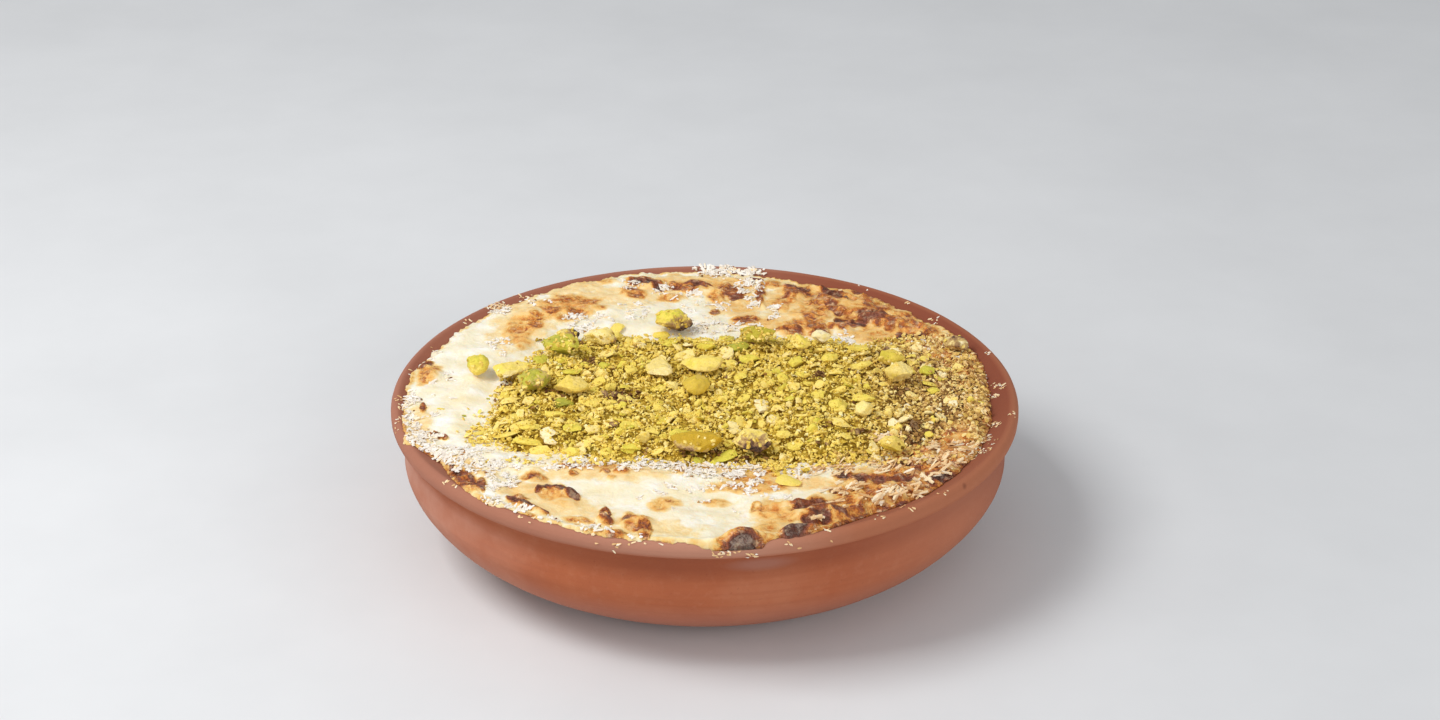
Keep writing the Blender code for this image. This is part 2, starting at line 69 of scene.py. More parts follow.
# Lights: name, place, size and power. The sky is a colour and a strength.
LIGHTS = (
    ("key", (-0.6, -0.16, 0.88), 0.5, 7.1),
    ("fill", (1.96, -2.21, 0.86), 2.4, 45),
    ("side", (-2.9, -0.85, 0.76), 2.0, 17.4),
)
SKY = ((0.95, 0.97, 1, 1), 0.43)
FLOOR_REACH = 6

# The dish, as in the part's source.
RIM_RADIUS = 100 * MM
BASE_RADIUS = 60 * MM
BELLY_RADIUS = 96.5 * MM
BELLY_HEIGHT = 27.4 * MM
BELLY_FULLNESS = 1.595
WALL = 8 * MM
FLOOR = 8 * MM
LIP_TOP = 46.7 * MM
CREST_RADIUS = 97.6 * MM
CREST_DROP = 2.7 * MM
BEAD_HEIGHT = 43.4 * MM
BEAD_RADIUS = 2.1 * MM
BEVEL_FOOT = (89 * MM, 42.2 * MM)
GROOVE = ((97.1, 40.5), (96.1, 38.8), (95.9, 36.0), (96.2, 31.8))

# The dish's mesh: rings under its foot, steps up its lip, and points round it.
FOOT_RADII = (58, 50, 35, 18)
LIP_STEP = 1.1 * MM
DISH_SECTORS = 420

# The food's heights and outlines, as in the part's source, but for a finer edge.
FOOD_LEVEL = 46.0 * MM
FOOD_TILT = 0.009
FILM = 0.8 * MM
EDGE_ROUND = 4 * MM
EDGE_RADII = (91.2, 94, 92.8, 93.2, 94.4, 95.3, 94.5, 94, 95.3, 97, 96.2, 98, 98.2, 95.5, 92.4, 91.4)
# Bays and tongues of the edge: heading and half width in degrees, and how far out, in mm.
# The last two, and a way over the lip's crest, are the scene's own.
EDGE_BITES = (
    (210, 6.5, -4.4), (229, 6, 2.0), (287, 6, 2.2), (301, 7, -4.6), (54, 7, 1.6), (276, 4, 3.4),
    (202, 3, 2.4),
)
EDGE_LIMITS = (89.6, 99.85)
HEAP_CENTRE = (5 * MM, -4 * MM)
HEAP_FLOOR = 45.3 * MM
HEAP_RIM = 0.7 * MM
HEAP_DEPTH = 2.3 * MM
HEAP_RADII = (83.5, 79, 57, 47, 43, 46, 62, 68, 70, 76, 57, 45.5, 45.5, 49, 60, 73)
BED_BOTTOM = HEAP_FLOOR - 0.5 * MM

# The food's meshes: points round, and rings as shares of the edge's radius.
CREAM_SECTORS = 880
CREAM_RINGS = np.concatenate([[12, 24, 32, 37, 40], np.linspace(42, 100, 98)]) / 100
BED_SECTORS = 460
BED_RINGS = np.linspace(0.02, 1, 84)
# The rings under the film's edge: the same share, and mm over the lip.
FILM_FOOT = ((1.001, 0.2), (1, 0.05), (0.985, 0.06))
INNER_GAP = 0.05 * MM  # between the filling and the inside of the dish

# Blisters of the skin: x, y, length, width and height in mm, and heading.
BLISTERS = (
    (11.2, -95.9, 13, 7.6, 2.9, 0), (27, -92.2, 12, 4.6, 2, 16), (33, -80.5, 18, 8, 2.2, 12),
    (-28.9, -84.6, 5, 4.6, 1.6, 0), (-19.6, -87, 10.6, 7, 1.9, 8), (-51.9, -55.4, 7, 5, 1, 0),
    (-88, 10, 7, 11, 1.5, 0), (-60, 57, 12, 8, 1.4, 40), (-49.6, 59, 12, 8, 1.5, 25),
    (-18.5, 82, 11, 6, 1.8, 8), (-1, 78.5, 12, 6, 1.6, 0), (31, 75.5, 9, 6, 2, 150),
    (48.5, 66.5, 25, 12, 2, 150), (60.5, 53.4, 19, 8, 2.4, 152), (28.5, 46.5, 10, 5, 1.3, 10),
    (56.5, -65, 15, 7, 1.7, 22), (71, -52, 11, 7, 1.6, 38), (-66, -60, 13, 6, 1.3, 138),
)
# Folds of the skin, by points in mm.
FOLDS = (
    ((-49.6, -66.4), (-46.4, -67), (-43.2, -68.8), (-40.6, -68.4), (-37.6, -70.4)),
    ((-54.2, -76.6), (-50.6, -79.2), (-46.4, -81.4)),
    ((20.6, 76), (19, 70), (20.2, 64)),
    ((36, 82), (46, 77), (57, 70)),
    ((70, 52), (75, 45), (79, 39)),
    ((18, -76.6), (25, -74.6), (34, -73.2)),
    ((42, -71), (50, -71.6), (59, -68.6)),
    ((50, -57.6), (59, -55), (67, -49.6)),
)
FOLD_WIDTH = 1.1  # mm, from the middle of a fold to its foot
FOLD_HEIGHT = 1.2 * MM

# Browned places on the cream: px, py, half width, half height, turn in degrees, depth.
# Depth is 0.2 for pale gold, 0.4 amber, 0.6 brown, 0.75 red-brown and 1 for black.
BROWNED = (
    # broad tints
    (875, 336, 32, 7, 5, 0.36), (880, 504, 30, 6, -22, 0.5), (932, 486, 26, 5, -32, 0.54),
    (966, 462, 12, 12, -50, 0.46), (845, 519, 22, 5, -10, 0.5), (850, 306, 82, 22, 10, 0.36),
    (915, 335, 40, 18, 25, 0.42), (955, 360, 30, 26, 45, 0.44), (976, 400, 20, 42, 0, 0.5),
    (935, 460, 52, 20, -25, 0.5), (880, 490, 60, 20, -15, 0.46), (838, 516, 44, 12, -10, 0.36),
    (790, 482, 50, 8, 0, 0.24), (720, 468, 50, 6, 0, 0.26), (695, 286, 62, 10, 0, 0.32),
    (738, 306, 26, 12, 0, 0.28), (525, 325, 36, 22, -30, 0.22), (690, 515, 90, 24, 0, 0.07),
    (560, 505, 60, 12, 12, 0.19), (530, 490, 32, 9, 0, 0.24), (528, 507, 20, 4, 20, 0.46),
    (556, 492, 20, 5, 12, 0.36), (640, 526, 60, 10, 5, 0.18), (600, 472, 80, 8, 0, 0.2),
    (610, 296, 60, 12, 0, 0.18), (755, 476, 30, 6, 0, 0.36), (750, 487, 38, 7, 0, 0.38),
    (588, 466, 34, 5, 0, 0.36), (420, 430, 12, 22, 0, 0.2), (470, 468, 30, 8, 20, 0.22),
    # back left
    (568, 307, 34, 12, -8, 0.46), (556, 303, 14, 5, -10, 0.48), (590, 303, 10, 6, 10, 0.45),
    (572, 315, 14, 4, 5, 0.5), (520, 332, 15, 16, -30, 0.4), (508, 335, 8, 10, 0, 0.34),
    (535, 322, 12, 8, -30, 0.46), (515, 300, 25, 8, -15, 0.24), (570, 285, 35, 9, -8, 0.22),
    (604, 281, 10, 3, 0, 0.42), (633, 293, 14, 6, 10, 0.48), (644, 282, 16, 4, 5, 0.78),
    (655, 286, 10, 4, 15, 0.7), (684, 288, 17, 6, 5, 0.64), (692, 284, 10, 3, 0, 0.78),
    (672, 298, 14, 4, 0, 0.42), (715, 312, 5, 3, 0, 0.5),
    # left
    (428, 375, 13, 8, -20, 0.44), (426, 365, 7, 2, -20, 0.76), (423, 409, 2.5, 5, 0, 0.68),
    (436, 436, 6, 2, 10, 0.86), (445, 438, 3, 2, 10, 0.8), (462, 477, 20, 7, 35, 0.58),
    (481, 486, 5, 5, 40, 0.74), (455, 470, 8, 3, 30, 0.7),
    # front left
    (533, 478, 13, 5, 0, 0.46), (534, 478, 7, 3, 0, 0.64), (560, 501, 22, 6, 12, 0.27),
    (520, 499, 11, 4, 15, 0.58), (578, 521, 16, 3, 10, 0.46), (548, 496, 12, 4, 10, 0.32),
    (605, 521, 7, 4, 10, 0.66), (634, 524, 17, 8, 10, 0.42), (630, 520, 9, 4, 5, 0.62),
    (645, 528, 7, 6, 60, 0.54), (663, 504, 15, 7, -5, 0.36), (668, 502, 6, 4, -10, 0.44),
    (716, 503, 13, 4, 0, 0.32), (612, 533, 14, 3, 5, 0.5), (569, 466, 8, 3, 10, 0.54),
    (573, 473, 5, 2.5, 0, 0.5), (604, 471, 6, 2, 0, 0.5), (622, 472, 8, 2.5, 5, 0.6),
    (611, 477, 5, 2, 0, 0.5), (681, 471, 6, 4, 0, 0.42),
    # front right
    (739, 544.5, 19, 6, 0, 1), (741, 544, 26, 9, 0, 0.66), (778, 515, 23, 14, 10, 0.36),
    (766, 530, 14, 8, 0, 0.34), (815, 508, 25, 8, 3, 0.74), (838, 512, 10, 6, 20, 0.7),
    (817, 519, 17, 6, -5, 0.8), (794, 531, 16, 5, -14, 0.93), (812, 526, 8, 4, -15, 0.86),
    (855, 505, 21, 8, -5, 0.4), (862, 506, 6, 5, 0, 0.62), (876, 509, 8, 3, -10, 0.6),
    (843, 476, 9, 6, 0, 0.78), (858, 479, 12, 4, 0, 0.76), (884, 481, 12, 5, 0, 0.74),
    (833, 492, 6, 3, 0, 0.7), (850, 490, 24, 8, 0, 0.4), (902, 465, 12, 6, 10, 0.74),
    (918, 470, 14, 8, 0, 0.56), (905, 481, 14, 6, 0, 0.7), (941, 477, 14, 4.5, -14, 0.94),
    (917, 440, 8, 9, 20, 0.9), (909, 427, 8, 3, 0, 0.8), (928, 447, 8, 6, 0, 0.6),
    (950, 433, 6, 4, -20, 0.7), (972, 405, 14, 16, 0, 0.6), (960, 425, 34, 40, 0, 0.34),
    (985, 415, 8, 22, 0, 0.56),
    # back right
    (716, 297, 10, 6, 0, 0.46), (727, 290, 12, 7, 0, 0.56), (736, 296, 8, 5, 0, 0.62),
    (700, 286, 10, 4, 0, 0.68), (760, 294, 5, 12, 10, 0.62), (772, 285, 11, 5, 0, 0.42),
    (745, 321, 14, 5, 0, 0.52), (796, 291, 13, 3.4, 15, 0.72), (789, 297, 10, 6, 0, 0.58),
    (826, 303, 20, 10, -5, 0.57), (831, 294, 13, 2, 18, 0.72), (842, 299, 8, 5, 40, 0.5),
    (838, 326, 12, 4, 0, 0.6), (803, 313, 16, 7, 0, 0.34), (866, 300, 24, 8, 10, 0.4),
    (860, 292, 10, 2.4, 10, 0.6), (876, 319, 22, 7, 6, 0.76), (890, 323, 16, 7, 0, 0.66),
    (846, 325, 20, 4, -8, 0.62), (820, 333, 12, 4, 0, 0.58), (792, 331, 14, 6, 0, 0.54),
    (797, 330, 7, 4, 0, 0.64), (911, 338, 15, 4, -10, 0.72), (900, 335, 6, 3, 0, 0.66),
    (905, 318, 16, 6, 20, 0.48), (926, 333, 10, 5, 20, 0.48), (800, 318, 42, 14, 0, 0.22),
    (818, 316, 24, 6, 0, 0.46), (806, 323, 20, 6, 0, 0.52), (850, 315, 16, 4, 10, 0.5),
    (870, 306, 20, 5, 15, 0.48), (905, 325, 18, 6, 15, 0.58), (918, 327, 12, 4, 20, 0.62),
    (884, 310, 14, 4, 15, 0.5), (782, 305, 10, 8, 0, 0.42), (930, 341, 16, 4, 18, 0.54),
    (815, 327, 14, 4, 0, 0.6), (838, 313, 10, 4, 10, 0.58), (768, 325, 20, 7, 0, 0.3),
)

# Dark creases of the skin: depth, half width, and their points, in pixels.
CREASES = (
    (0.9, 1.7, ((537, 491), (548, 486.5), (562, 488))), (0.88, 2.6, ((561, 488), (570, 494), (577, 498))),
    (0.88, 1.7, ((508, 498), (520, 503), (534, 508), (547, 513))), (0.84, 2.2, ((452, 469), (460, 474))),
    (0.86, 1.8, ((470, 478), (476, 485), (483, 491))), (0.9, 1.6, ((415, 452), (425, 455))),
    (0.88, 1.5, ((788, 287), (800, 288), (809, 291))), (0.86, 1.5, ((822, 290), (834, 294), (846, 303))),
    (0.84, 1.8, ((836, 321), (850, 321), (864, 325))), (0.84, 1.7, ((896, 339), (907, 335), (925, 336))),
    (0.84, 1.3, ((746, 281), (762, 281))), (0.9, 1.5, ((634, 281), (650, 286), (662, 290))),
)
# Small brown rings round burst bubbles: middle, radius and depth.
RINGS = ((605, 514, 4.5, 0.66), (757, 508.5, 4.5, 0.5), (645, 530, 6, 0.5), (682, 470, 4, 0.44))
# How brown the food's edge is, every 22.5 degrees round from the right.
EDGE_BROWN = (
    0.5, 0.5, 0.42, 0.36, 0.26, 0.2, 0.16, 0.1, 0.24, 0.36, 0.26, 0.24, 0.22, 0.6, 0.56, 0.54
)

# Drifts of shredded coconut: px, py, half width, half height, how many, and layers.
COCONUT = (
    (731, 271, 36, 6, 260, 3), (748, 285, 14, 8, 110, 2), (752, 301, 8, 7, 50, 2),
    (773, 311, 10, 11, 60, 2), (704, 306, 24, 6, 60, 1), (704, 326, 20, 8, 60, 1),
    (632, 312, 20, 12, 60, 1), (738, 328, 45, 5, 90, 2), (660, 289, 8, 5, 40, 2),
    (628, 284, 14, 6, 30, 1), (690, 296, 20, 5, 40, 1), (600, 322, 14, 7, 50, 1),
    (497, 310, 16, 4, 130, 2), (495, 310, 11, 4.5, 130, 3), (530, 300, 20, 6, 50, 1),
    (573, 319, 14, 4, 50, 2), (586, 327, 12, 4, 40, 2), (503, 345, 14, 10, 50, 1),
    (410, 405, 7, 14, 100, 2), (414, 430, 9, 16, 150, 2), (426, 440, 12, 12, 140, 2),
    (440, 400, 14, 26, 40, 1), (444, 455, 26, 9, 270, 2), (480, 466, 34, 8, 230, 2),
    (500, 482, 18, 7, 120, 2), (470, 452, 22, 6, 70, 1), (560, 465, 44, 4, 150, 2),
    (640, 464, 56, 5, 220, 2), (728, 471, 30, 8, 300, 3), (690, 470, 22, 7, 110, 2),
    (745, 482, 30, 4, 60, 2), (700, 487, 60, 4, 60, 1), (770, 492, 26, 6, 36, 1),
    (796, 473, 18, 7, 100, 2), (832, 470, 26, 7, 90, 1), (884, 438, 20, 4, 80, 2),
    (952, 450, 22, 9, 90, 2), (940, 462, 26, 6, 60, 2), (880, 468, 26, 5, 50, 2),
    (905, 460, 18, 6, 14, 1), (908, 490, 22, 8, 70, 2), (868, 494, 34, 14, 62, 1),
    (840, 486, 24, 8, 32, 1), (925, 475, 22, 8, 30, 1), (813, 517, 9, 2, 9, 1), (845, 340, 11, 6, 60, 2),
    (516, 508, 12, 3, 40, 1), (492, 501, 9, 5, 60, 2), (540, 520, 20, 4, 30, 1), (591, 530, 8, 4, 28, 2),
    (620, 535, 18, 2.5, 7, 1), (612, 529, 10, 3, 6, 1), (640, 496, 40, 8, 14, 1),
    (700, 515, 60, 12, 16, 1), (940, 350, 36, 10, 60, 1), (440, 350, 20, 12, 20, 1),
)
# Bits of coconut on the bare clay of the rim, in the same terms.
RIM_BITS = (
    (399, 402, 3, 9, 12), (398, 424, 3, 9, 9), (410, 372, 3, 4, 3), (515, 297, 16, 3, 12),
    (430, 350, 4, 3, 2), (909, 303, 4, 1, 5), (987, 354, 3, 2, 4), (984, 378, 5, 8, 14),
    (999, 386, 8, 3, 20), (994, 397, 7, 3, 13), (1012, 414, 4, 4, 6), (996, 425, 9, 3, 16),
    (990, 440, 9, 5, 20), (982, 450, 10, 4, 20), (970, 458, 8, 4, 12), (718, 554, 7, 2.5, 9),
    (752, 555, 7, 2.5, 8), (735, 553, 8, 3, 7), (681, 560, 3, 1, 3), (618, 545, 5, 2, 4),
    (615, 552, 2, 1, 1), (447, 483, 3, 2, 3), (453, 487, 3, 2, 2), (430, 498, 1, 1, 1),
    (788, 544, 6, 2, 4), (822, 530, 8, 2, 5), (830, 541, 2, 1, 1), (798, 549, 2, 1, 1),
    (880, 518, 9, 3, 4), (905, 508, 12, 4, 6), (940, 492, 10, 4, 4), (560, 524, 30, 3, 7),
    (640, 543, 40, 2, 7), (530, 517, 20, 2, 6), (868, 288, 30, 3, 5), (940, 320, 20, 6, 8),
    (496, 306, 13, 4, 60), (472, 322, 9, 3, 8),
)

# Chopped pieces of the heap, as in the part's source: x, y, length, width and height in mm, heading,
# and how green, from 0 for cream over 0.5 for yellow to 1.
CHUNKS = (
    (11.1, 26, 8, 5, 4, 20, 0.9), (71.8, 9.1, 5.6, 5, 3.4, 0, 0.75), (17.9, -17.1, 6, 5, 3.6, 110, 0.1),
    (-29.7, 39.5, 6, 5, 3.6, 60, 0.45), (-11.8, 31.8, 7, 5, 3, 5, 0.6), (0.4, 27.2, 7, 5, 3.4, 0, 0.6),
    (-6.4, 19.4, 8, 4.6, 3, 12, 0.35), (29.6, 13.9, 5.5, 5, 4, 30, 0.55), (14.6, 17, 8, 4.4, 3, 8, 0.6),
    (7, 21.2, 6, 4, 3, 160, 0.2), (40.8, 18, 6.5, 4.5, 3.4, 20, 0.5), (68, 17, 5, 4, 3, 0, 0.4),
    (51.6, 12.9, 6, 4.4, 3, 0, 0.45), (41.9, 6.3, 5, 4, 3, 0, 0.4), (73.1, -3, 5, 3.4, 2.4, 20, 0.6),
    (50.1, -11, 8, 4.6, 3.4, 5, 0.5), (42, -16.2, 7, 5, 3.6, 15, 0.5), (42.6, -27.6, 7, 5, 3, 0, 0.35),
    (50.3, 26.5, 9, 4, 2.6, 2, 0.5), (-61.4, -9, 8, 4, 2.4, 12, 0.35), (-57, 1.5, 5, 4.4, 4, 0, 0.6),
    (-54.2, -30, 8, 3.6, 2.4, 5, 0.5), (-54, -37.1, 11, 3.6, 2.4, 176, 0.5),
    (-46.5, -20.6, 8.4, 4, 2.6, 0, 0.5), (-40.9, -31.5, 7, 5, 3.4, 0, 0.6),
    (-44.4, -13.6, 6.6, 4.6, 3, 20, 0.95), (-47.1, -37.7, 5, 4.6, 3.4, 0, 0.05),
    (-7.5, -34.5, 8.4, 4, 2.6, 20, 0.6), (-22.4, -41.5, 6.6, 4, 3, 8, 0.6),
    (27.3, -42, 5, 4.4, 3.2, 0, 0.5),
)

# Kernels: how green at the bottom and top, how golden, how much brown skin, the way the skin faces,
# and how many crumbs cling to it.
KERNELS = {
    1: (0.2, 0.72, 0, 0.8, (0.5, -0.4, -0.7), 24), 2: (0.3, 0.36, 0, 0.84, (0.9, 0.1, 0.2), 10),
    3: (0.96, 0.78, 0, 0.5, (0, 0, 0), 34), 4: (0.34, 0.72, 0, 0.36, (-0.6, 0, -0.6), 10),
    5: (0.2, 0.4, 0, 0.2, (0, -0.3, -1), 8), 6: (0.82, 0.9, 0, 0.72, (0, 0, 0), 26),
    7: (0.38, 0.44, 0.24, 0, (0, 0, -1), 0), 8: (0.2, 0.28, 0, 0.3, (1, 0.2, -0.2), 16),
    9: (0.24, 0.28, 0.1, 0, (0, 0, -1), 0), 10: (0.32, 0.42, 0, 0.2, (0.8, 0.3, -0.4), 0),
    11: (0.5, 0.52, 0.55, 0, (0, 0, -1), 0), 12: (0.94, 0.84, 0.3, 0.6, (0, 0, 0), 40),
    13: (0.3, 0.5, 0, 0.4, (0, 0, 0), 14), 14: (0.04, 0.14, 0, 0, (0, 0, -1), 0),
    15: (0.66, 0.5, 0.3, 0, (0, 0, -1), 18), 16: (0.36, 0.3, 0.14, 0, (0, 0, -1), 0),
    17: (0.86, 0.86, 0.85, 0.5, (-0.5, -0.5, -0.6), 12), 18: (0.3, 0.34, 0, 0.78, (0.2, -0.9, -0.4), 22),
    19: (0.5, 0.4, 0.2, 0, (0, 0, -1), 16), 20: (0.2, 0.28, 0, 0, (0, 0, -1), 0),
    21: (0.1, 0.16, 0, 0.98, (0, 0, 0), 6),
}

# Places in the heap where the crumbs are brown: nut skin, and under some kernels painted shade: px, py and
# half size.
DARK_CRUMB_SPOTS = (
    (622, 396, 20, 8), (735, 362, 9, 4), (820, 376, 6, 4), (898, 393, 8, 4), (829, 425, 5, 4),
    (915, 434, 11, 14), (587, 362, 10, 4), (505, 384, 8, 3), (552, 391, 12, 3), (690, 455, 10, 3),
    (640, 452, 10, 3), (607, 336, 8, 5), (714, 455, 12, 3), (740, 461, 12, 3), (885, 352, 6, 3),
    (760, 455, 8, 4), (860, 432, 12, 3),
)
# Chips that show one by one: px, py, length and width in mm, heading, and how green.
FLAKES = (
    (788, 482, 8.6, 6.6, 4, 0.42), (661, 336, 6.4, 3.6, 8, 0.5), (671, 344, 6, 4, 0, 0.56),
    (796, 363, 5, 5.6, 100, 0.68), (807, 384, 4, 2.4, 0, 0.52), (628, 450, 6, 3.6, 0, 0.64),
    (930, 386, 6, 3.6, 0, 0.52), (926, 368, 4.4, 3.6, 20, 0.16), (508, 391, 9.4, 4.4, 14, 0.36),
    (522, 427, 8, 4, 10, 0.4), (563, 404, 6, 4.6, 0, 0.94), (573, 427, 6.6, 6, 30, 0.46),
    (857, 368, 4.6, 3.2, 0, 0.44), (838, 368, 5, 3.6, 10, 0.36), (745, 440, 4, 3, 60, 0.7),
    (700, 462, 5, 3, 0, 0.8), (716, 464, 4.4, 3, 20, 0.66), (480, 434, 5, 2.6, 10, 0.46),
    (464, 416, 1.6, 1.2, 0, 0.9), (441, 409, 3, 1, 5, 0.5), (488, 399, 1.4, 1, 0, 0.9),
    (592, 403, 10, 5.4, 5, 0.44), (641, 341, 8, 3.6, 5, 0.34), (607, 355, 6.6, 3.6, 0, 0.3),
    (632, 351, 4, 2.6, 0, 0.4), (541, 362, 6, 5.4, 20, 0.78), (571, 373, 8, 4, -10, 0.66),
    (605, 365, 4, 3.6, 30, 0.76), (597, 384, 7, 4.4, 10, 0.46), (631, 371, 5, 4, 20, 0.44),
    (683, 358, 9.4, 6, 5, 0.26), (711, 347, 6, 4, 0, 0.66), (727, 340, 6, 4.6, 0, 0.6),
    (727, 354, 5.6, 4.6, 30, 0.2), (617, 330, 6, 5, 60, 0.44), (507, 436, 10, 3.6, -8, 0.44),
    (541, 451, 7.6, 3.6, 0, 0.4), (681, 437, 9, 3.4, 20, 0.42), (725, 458, 9, 4.6, 5, 0.7),
    (753, 434, 7, 3.6, 5, 0.26), (796, 447, 5.6, 5, 20, 0.44), (741, 378, 4.6, 4, 0, 0.5),
    (744, 400, 5, 4, 40, 0.5), (761, 404, 5.4, 5, 70, 0.08), (549, 434, 6, 5, 0, 0.06),
    (845, 437, 5, 3.4, 10, 0.4), (783, 436, 5, 4, 0, 0.44), (818, 396, 5, 4, 20, 0.5),
    (840, 410, 4.6, 3.6, 0, 0.46), (660, 408, 5, 3.4, 10, 0.46), (652, 432, 5, 3.4, -10, 0.42),
)
# Crumbs that strayed from the heap: px, py, half width, half height, how many, and how brown.
STRAYS = (
    (976, 405, 13, 42, 520, 1), (935, 344, 40, 9, 260, 1), (900, 343, 30, 5, 90, 0.5),
    (480, 437, 16, 9, 110, 0.1), (472, 424, 16, 14, 14, 0), (600, 461, 110, 4, 120, 0.1),
    (770, 462, 80, 5, 120, 0.2), (788, 471, 20, 6, 70, 0.1), (885, 458, 60, 8, 170, 0.8),
    (600, 340, 60, 6, 60, 0.2), (962, 358, 14, 9, 130, 1), (912, 440, 12, 14, 60, 1.2),
    (972, 402, 9, 12, 60, 1.3),
)

# Piles of nut: the name, and how many points its shapes are made from.
NUT_PILES = (("nut_flakes", 22), ("fine_grains", 7), ("nut_crumbs", 10), ("nut_chips", 22))
NUT_SHAPES = 14  # in each pile
CHIPS, CRUMBS, GRAINS = 1500, 5200, 11500
HEAP_SPAN = ((-80, 90), (-54, 50))  # mm, left and right and front and back of its centre
FEWER_CHIPS = 25 * MM  # to the right of this, a quarter of the chips is left out
BEHIND = 12 * MM  # how near behind a small piece a nut counts as hidden
ABOVE = 0.1  # the height from which a piece falls

# Coconut: the height that drifts and bits keep above, the spread of a tuft in pixels, and how thin.
DRIFTS_ABOVE, BITS_ABOVE = 42 * MM, 40 * MM
TUFT = (2.2, 1.1)
THIN = 0.3 * MM

# Kernels: flats pressed in, how far their streaks are drawn out, and which are smoothed more.
FLATS = 12
STREAK = 4.5
LONG_KERNEL = 11 * MM


# ---------------------------------------------------------------- places


def photo_pixel(place):
    away = place - CAMERA_PLACE
    depth = away.dot(FORWARD)
    across, above = away.x / depth, away.dot(UP) / depth
    return AXIS_PX[0] + FOCAL_PX * across, AXIS_PX[1] - FOCAL_PX * above


def ray_to(px, py):
    across, above = (px - AXIS_PX[0]) / FOCAL_PX, (AXIS_PX[1] - py) / FOCAL_PX
    return (FORWARD + Vector((across, 0, 0)) + above * UP).normalized()


def clamp(value, low=0, high=1):
    return min(max(value, low), high)


def smooth(share):
    share = clamp(share)
    return share * share * (3 - 2 * share)


def around(values, angle):
    place = angle / math.tau % 1 * len(values)
    first = int(place) % len(values)
    share = smooth(place - int(place))
    return values[first] * (1 - share) + values[(first + 1) % len(values)] * share


def lumps(x, y, size, seed):
    return noise.noise(Vector((x / size, y / size, seed)))


def rough_lumps(x, y, z, size, seed):
    return noise.fractal(Vector((x, y, z)) / size + Vector((0, 0, 7.3 * seed)), 0.9, 2.1, 3)


def lip_height(radius):
    foot, low = BEVEL_FOOT
    slope = (LIP_TOP - low) / (CREST_RADIUS - foot)
    over = clamp((radius - CREST_RADIUS) / (RIM_RADIUS - CREST_RADIUS))
    drop = CREST_DROP * (1 - math.sqrt(1 - over * over))
    return min(LIP_TOP, low + slope * (radius - foot)) - drop


def edge_radius(angle):
    radius = around(EDGE_RADII, angle) + 0.4
    radius += 0.9 * lumps(math.cos(angle), math.sin(angle), 0.05, 4.4)
    radius += 0.6 * lumps(math.cos(angle), math.sin(angle), 0.014, 6.1)
    for heading, half_width, depth in EDGE_BITES:
        off = (math.degrees(angle) - heading + 180) % 360 - 180
        radius += depth * math.exp(-((off / half_width) ** 2))
    return clamp(radius, *EDGE_LIMITS) * MM


def past_edge(place):
    """How far a place is outside the food's edge."""
    return math.hypot(place.x, place.y) - edge_radius(math.atan2(place.y, place.x))


def heap_radius(angle):
    ragged = 1.8 * lumps(math.cos(angle), math.sin(angle), 0.14, 2.3)
    return (around(HEAP_RADII, angle) + ragged) * MM


def outside_heap(x, y):
    x, y = x - HEAP_CENTRE[0], y - HEAP_CENTRE[1]
    return math.hypot(x, y) - heap_radius(math.atan2(y, x))


def food_height(x, y):
    radius = math.hypot(x, y)
    uneven = 0.9 * lumps(x, y, 21 * MM, 3.1) + 0.45 * lumps(x, y, 9 * MM, 7.7)
    level = FOOD_LEVEL - FOOD_TILT * x + uneven * MM
    bare = smooth((outside_heap(x, y) - 3 * MM) / (8 * MM))
    height = HEAP_FLOOR + (level - HEAP_FLOOR) * bare
    film = lip_height(radius) + GAP + FILM
    inland = smooth((edge_radius(math.atan2(y, x)) - radius) / EDGE_ROUND)
    return film + (max(height, film) - film) * inland


def heap_height(x, y):
    inside = smooth(-outside_heap(x, y) / (13 * MM))
    thinner = 1 - 0.5 * smooth((x - 35 * MM) / (50 * MM))
    uneven = 0.7 * lumps(x, y, 11 * MM, 1.7) + 0.8 * lumps(x, y, 4.5 * MM, 5.3)
    from_centre = math.hypot(x - HEAP_CENTRE[0], y - HEAP_CENTRE[1])
    grains = 0.7 * lumps(x, y, 2.1 * MM, 9.1) * smooth(from_centre / (30 * MM))
    depth = HEAP_DEPTH * thinner + (uneven + grains) * MM
    return HEAP_FLOOR + GAP + HEAP_RIM + depth * inside


def tan_share(x):
    """The ground nut is browner at the right end of the heap."""
    return np.clip((np.asarray(x) - 44 * MM) / (28 * MM), 0, 1)


# ---------------------------------------------------------------- browning


def turned_to(x, y, middle, halves, degrees):
    """How far places are along and across an ellipse that is turned by some degrees."""
    c, s = math.cos(math.radians(degrees)), math.sin(math.radians(degrees))
    x, y = x - middle[0], y - middle[1]
    return (x * c + y * s) / halves[0], (y * c - x * s) / halves[1]


def off_line(x, y, line):
    """How far places are from a line of points."""
    near = np.full(len(x), np.inf)
    for (x0, y0), (x1, y1) in zip(line, line[1:]):
        dx, dy = x1 - x0, y1 - y0
        share = np.clip(((x - x0) * dx + (y - y0) * dy) / (dx * dx + dy * dy), 0, 1)
        near = np.minimum(near, np.hypot(x - x0 - share * dx, y - y0 - share * dy))
    return near


def browning(px, py, rough):
    """How brown the cream is at pixels of the photograph, from 0 to 1."""
    total = np.zeros(len(px))
    for x, y, half_width, half_height, turn, depth in BROWNED:
        far = np.hypot(*turned_to(px, py, (x, y), (half_width, half_height), turn)) + rough
        share = np.clip(1.55 - far, 0, 1)
        total = np.maximum(total, depth * (share * share * (3 - 2 * share)))
    for depth, half_width, line in CREASES:
        share = np.clip(1.6 - off_line(px, py, line) / half_width + 0.5 * rough, 0, 1)
        total = np.maximum(total, depth * share)
    for x, y, radius, depth in RINGS:
        far = np.hypot(px - x, py - y) / radius
        total = np.maximum(total, depth * np.clip(1.3 - abs(far - 1) / 0.4, 0, 1))
    return total


